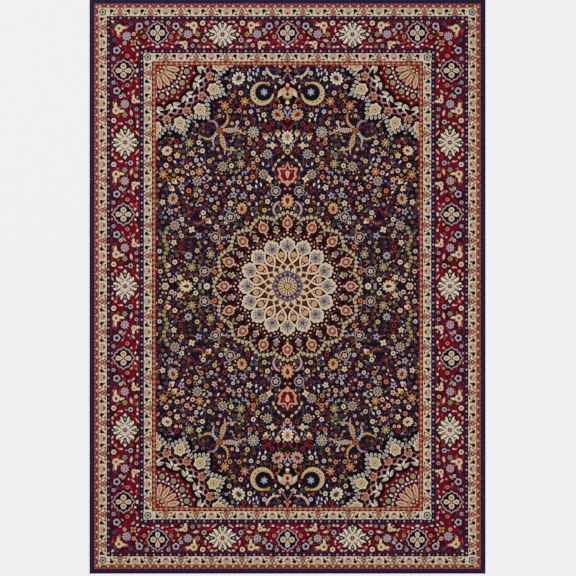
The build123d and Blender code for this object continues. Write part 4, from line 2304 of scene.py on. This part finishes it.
@dataclass
class Studio:
    """A plain white floor, soft light from above and a camera that looks straight down.

    Args:
        view: How much of the floor the square picture takes in, in metres.
        lens: The focal length, in millimetres.
        sensor: The sensor's width, in millimetres.
        aim: Where the camera looks, across and along, in metres.
    """

    view: float = 2.9
    lens: float = 200.0
    sensor: float = 36.0
    aim: tuple[float, float] = (0.0025, -0.0088)
    floor_size: float = 30.0
    floor_gap: float = 0.0005
    glow: float = 0.72
    lamp_power: float = 125.0

    def camera(self, face: float) -> None:
        """Sets the camera over the rug.

        Args:
            face: The height of the rug's face, in metres.
        """
        camera = bpy.data.cameras.new("overhead")
        camera.lens = self.lens
        camera.sensor_width = self.sensor
        away = self.view * self.lens / self.sensor
        mount = bpy.data.objects.new("overhead", camera)
        mount.location = (*self.aim, face + away)
        bpy.context.collection.objects.link(mount)
        bpy.context.scene.camera = mount

    def floor(self) -> None:
        """Lays a plain floor just under the rug."""
        deselect()
        bpy.ops.mesh.primitive_plane_add(size=self.floor_size, location=(0, 0, -self.floor_gap))
        ground = active()
        ground.name = "floor"
        graph = Graph("white_floor")
        shader = graph.wire("BsdfPrincipled", 0, None, {
            "Base Color": (0.93, 0.93, 0.93, 1),
            "Roughness": 0.9,
            "Specular IOR Level": 0.1,
            "Emission Color": (1, 1, 1, 1),
            "Emission Strength": 4.5,
        })
        graph.node("OutputMaterial", None, {0: shader})
        ground.data.materials.append(graph.material)

    def lights(self) -> None:
        """Hangs the soft lights."""
        world = bpy.data.worlds.new("room")
        world.use_nodes = True
        world.node_tree.nodes["Background"].inputs["Color"].default_value = (1, 1, 1, 1)
        world.node_tree.nodes["Background"].inputs["Strength"].default_value = self.glow
        bpy.context.scene.world = world
        for name, x, y, power in (
            ("key", -1.6, 1.4, self.lamp_power),
            ("fill", 1.8, -1.2, self.lamp_power * 0.55),
        ):
            lamp = bpy.data.lights.new(name, "AREA")
            lamp.shape = "RECTANGLE"
            lamp.size, lamp.size_y = 3.4, 3.4
            lamp.energy = power
            hung = bpy.data.objects.new(name, lamp)
            hung.location = (x, y, 3.4)
            hung.rotation_euler = (Vector((0, 0, 0)) - hung.location).to_track_quat("-Z", "Y").to_euler()
            bpy.context.collection.objects.link(hung)

    def build(self, face: float) -> None:
        """Sets the whole room up."""
        self.camera(face)
        self.floor()
        self.lights()


def main() -> None:
    """Builds the rug in order: room, cartoon, pile, edges, ends and back."""
    layout = Layout.from_frame()
    knot = layout.knot * MM
    Studio().build(node_box("field")[1].z)
    colours = Cartoon(layout).paint()
    log.info("cartoon: %d by %d knots", colours.shape[1], colours.shape[0])
    pile = PileWork(layout, colours, Pile(knot).material()).build()
    edge = SideEdge("left")
    yarn = WoundYarn((layout.length * MM) / edge.turns).material()
    serging = [SideEdge(side).build(yarn) for side in ("left", "right")]
    tape_cloth = Weave("herringbone_tape", (0.030, 0.018, 0.040), 0.0016, 1.0).material()
    thread = TwistedThread("stitch_thread", (0.045, 0.030, 0.060), 0.0016).material()
    tapes, stitching = [], []
    for end in ("front", "back"):
        binding = EndBinding(end)
        tapes.append(binding.tape(tape_cloth))
        stitching.append(binding.stitches(thread))
    ground = Ground()
    cloth = Weave("ground_cloth", (0.50, 0.44, 0.34), 0.0027).material()
    foundation = ground.slab("foundation", "ground_cloth", "foundation_cloth", cloth)
    latex = RolledLatex(knot).material()
    coat = ground.slab("latex_coat", "back_coat", "latex", latex)
    cotton = TwistedThread("cord_cotton", (0.62, 0.57, 0.48), 0.004).material()
    for side in ("left", "right"):
        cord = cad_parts[f"side_cord_{side}"]
        cord.data.materials.clear()
        cord.data.materials.append(cotton)
    pile + serging + stitching + [coat]
    for tape, end in zip(tapes, ("front", "back")):
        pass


if __name__ == "__main__":
    main()
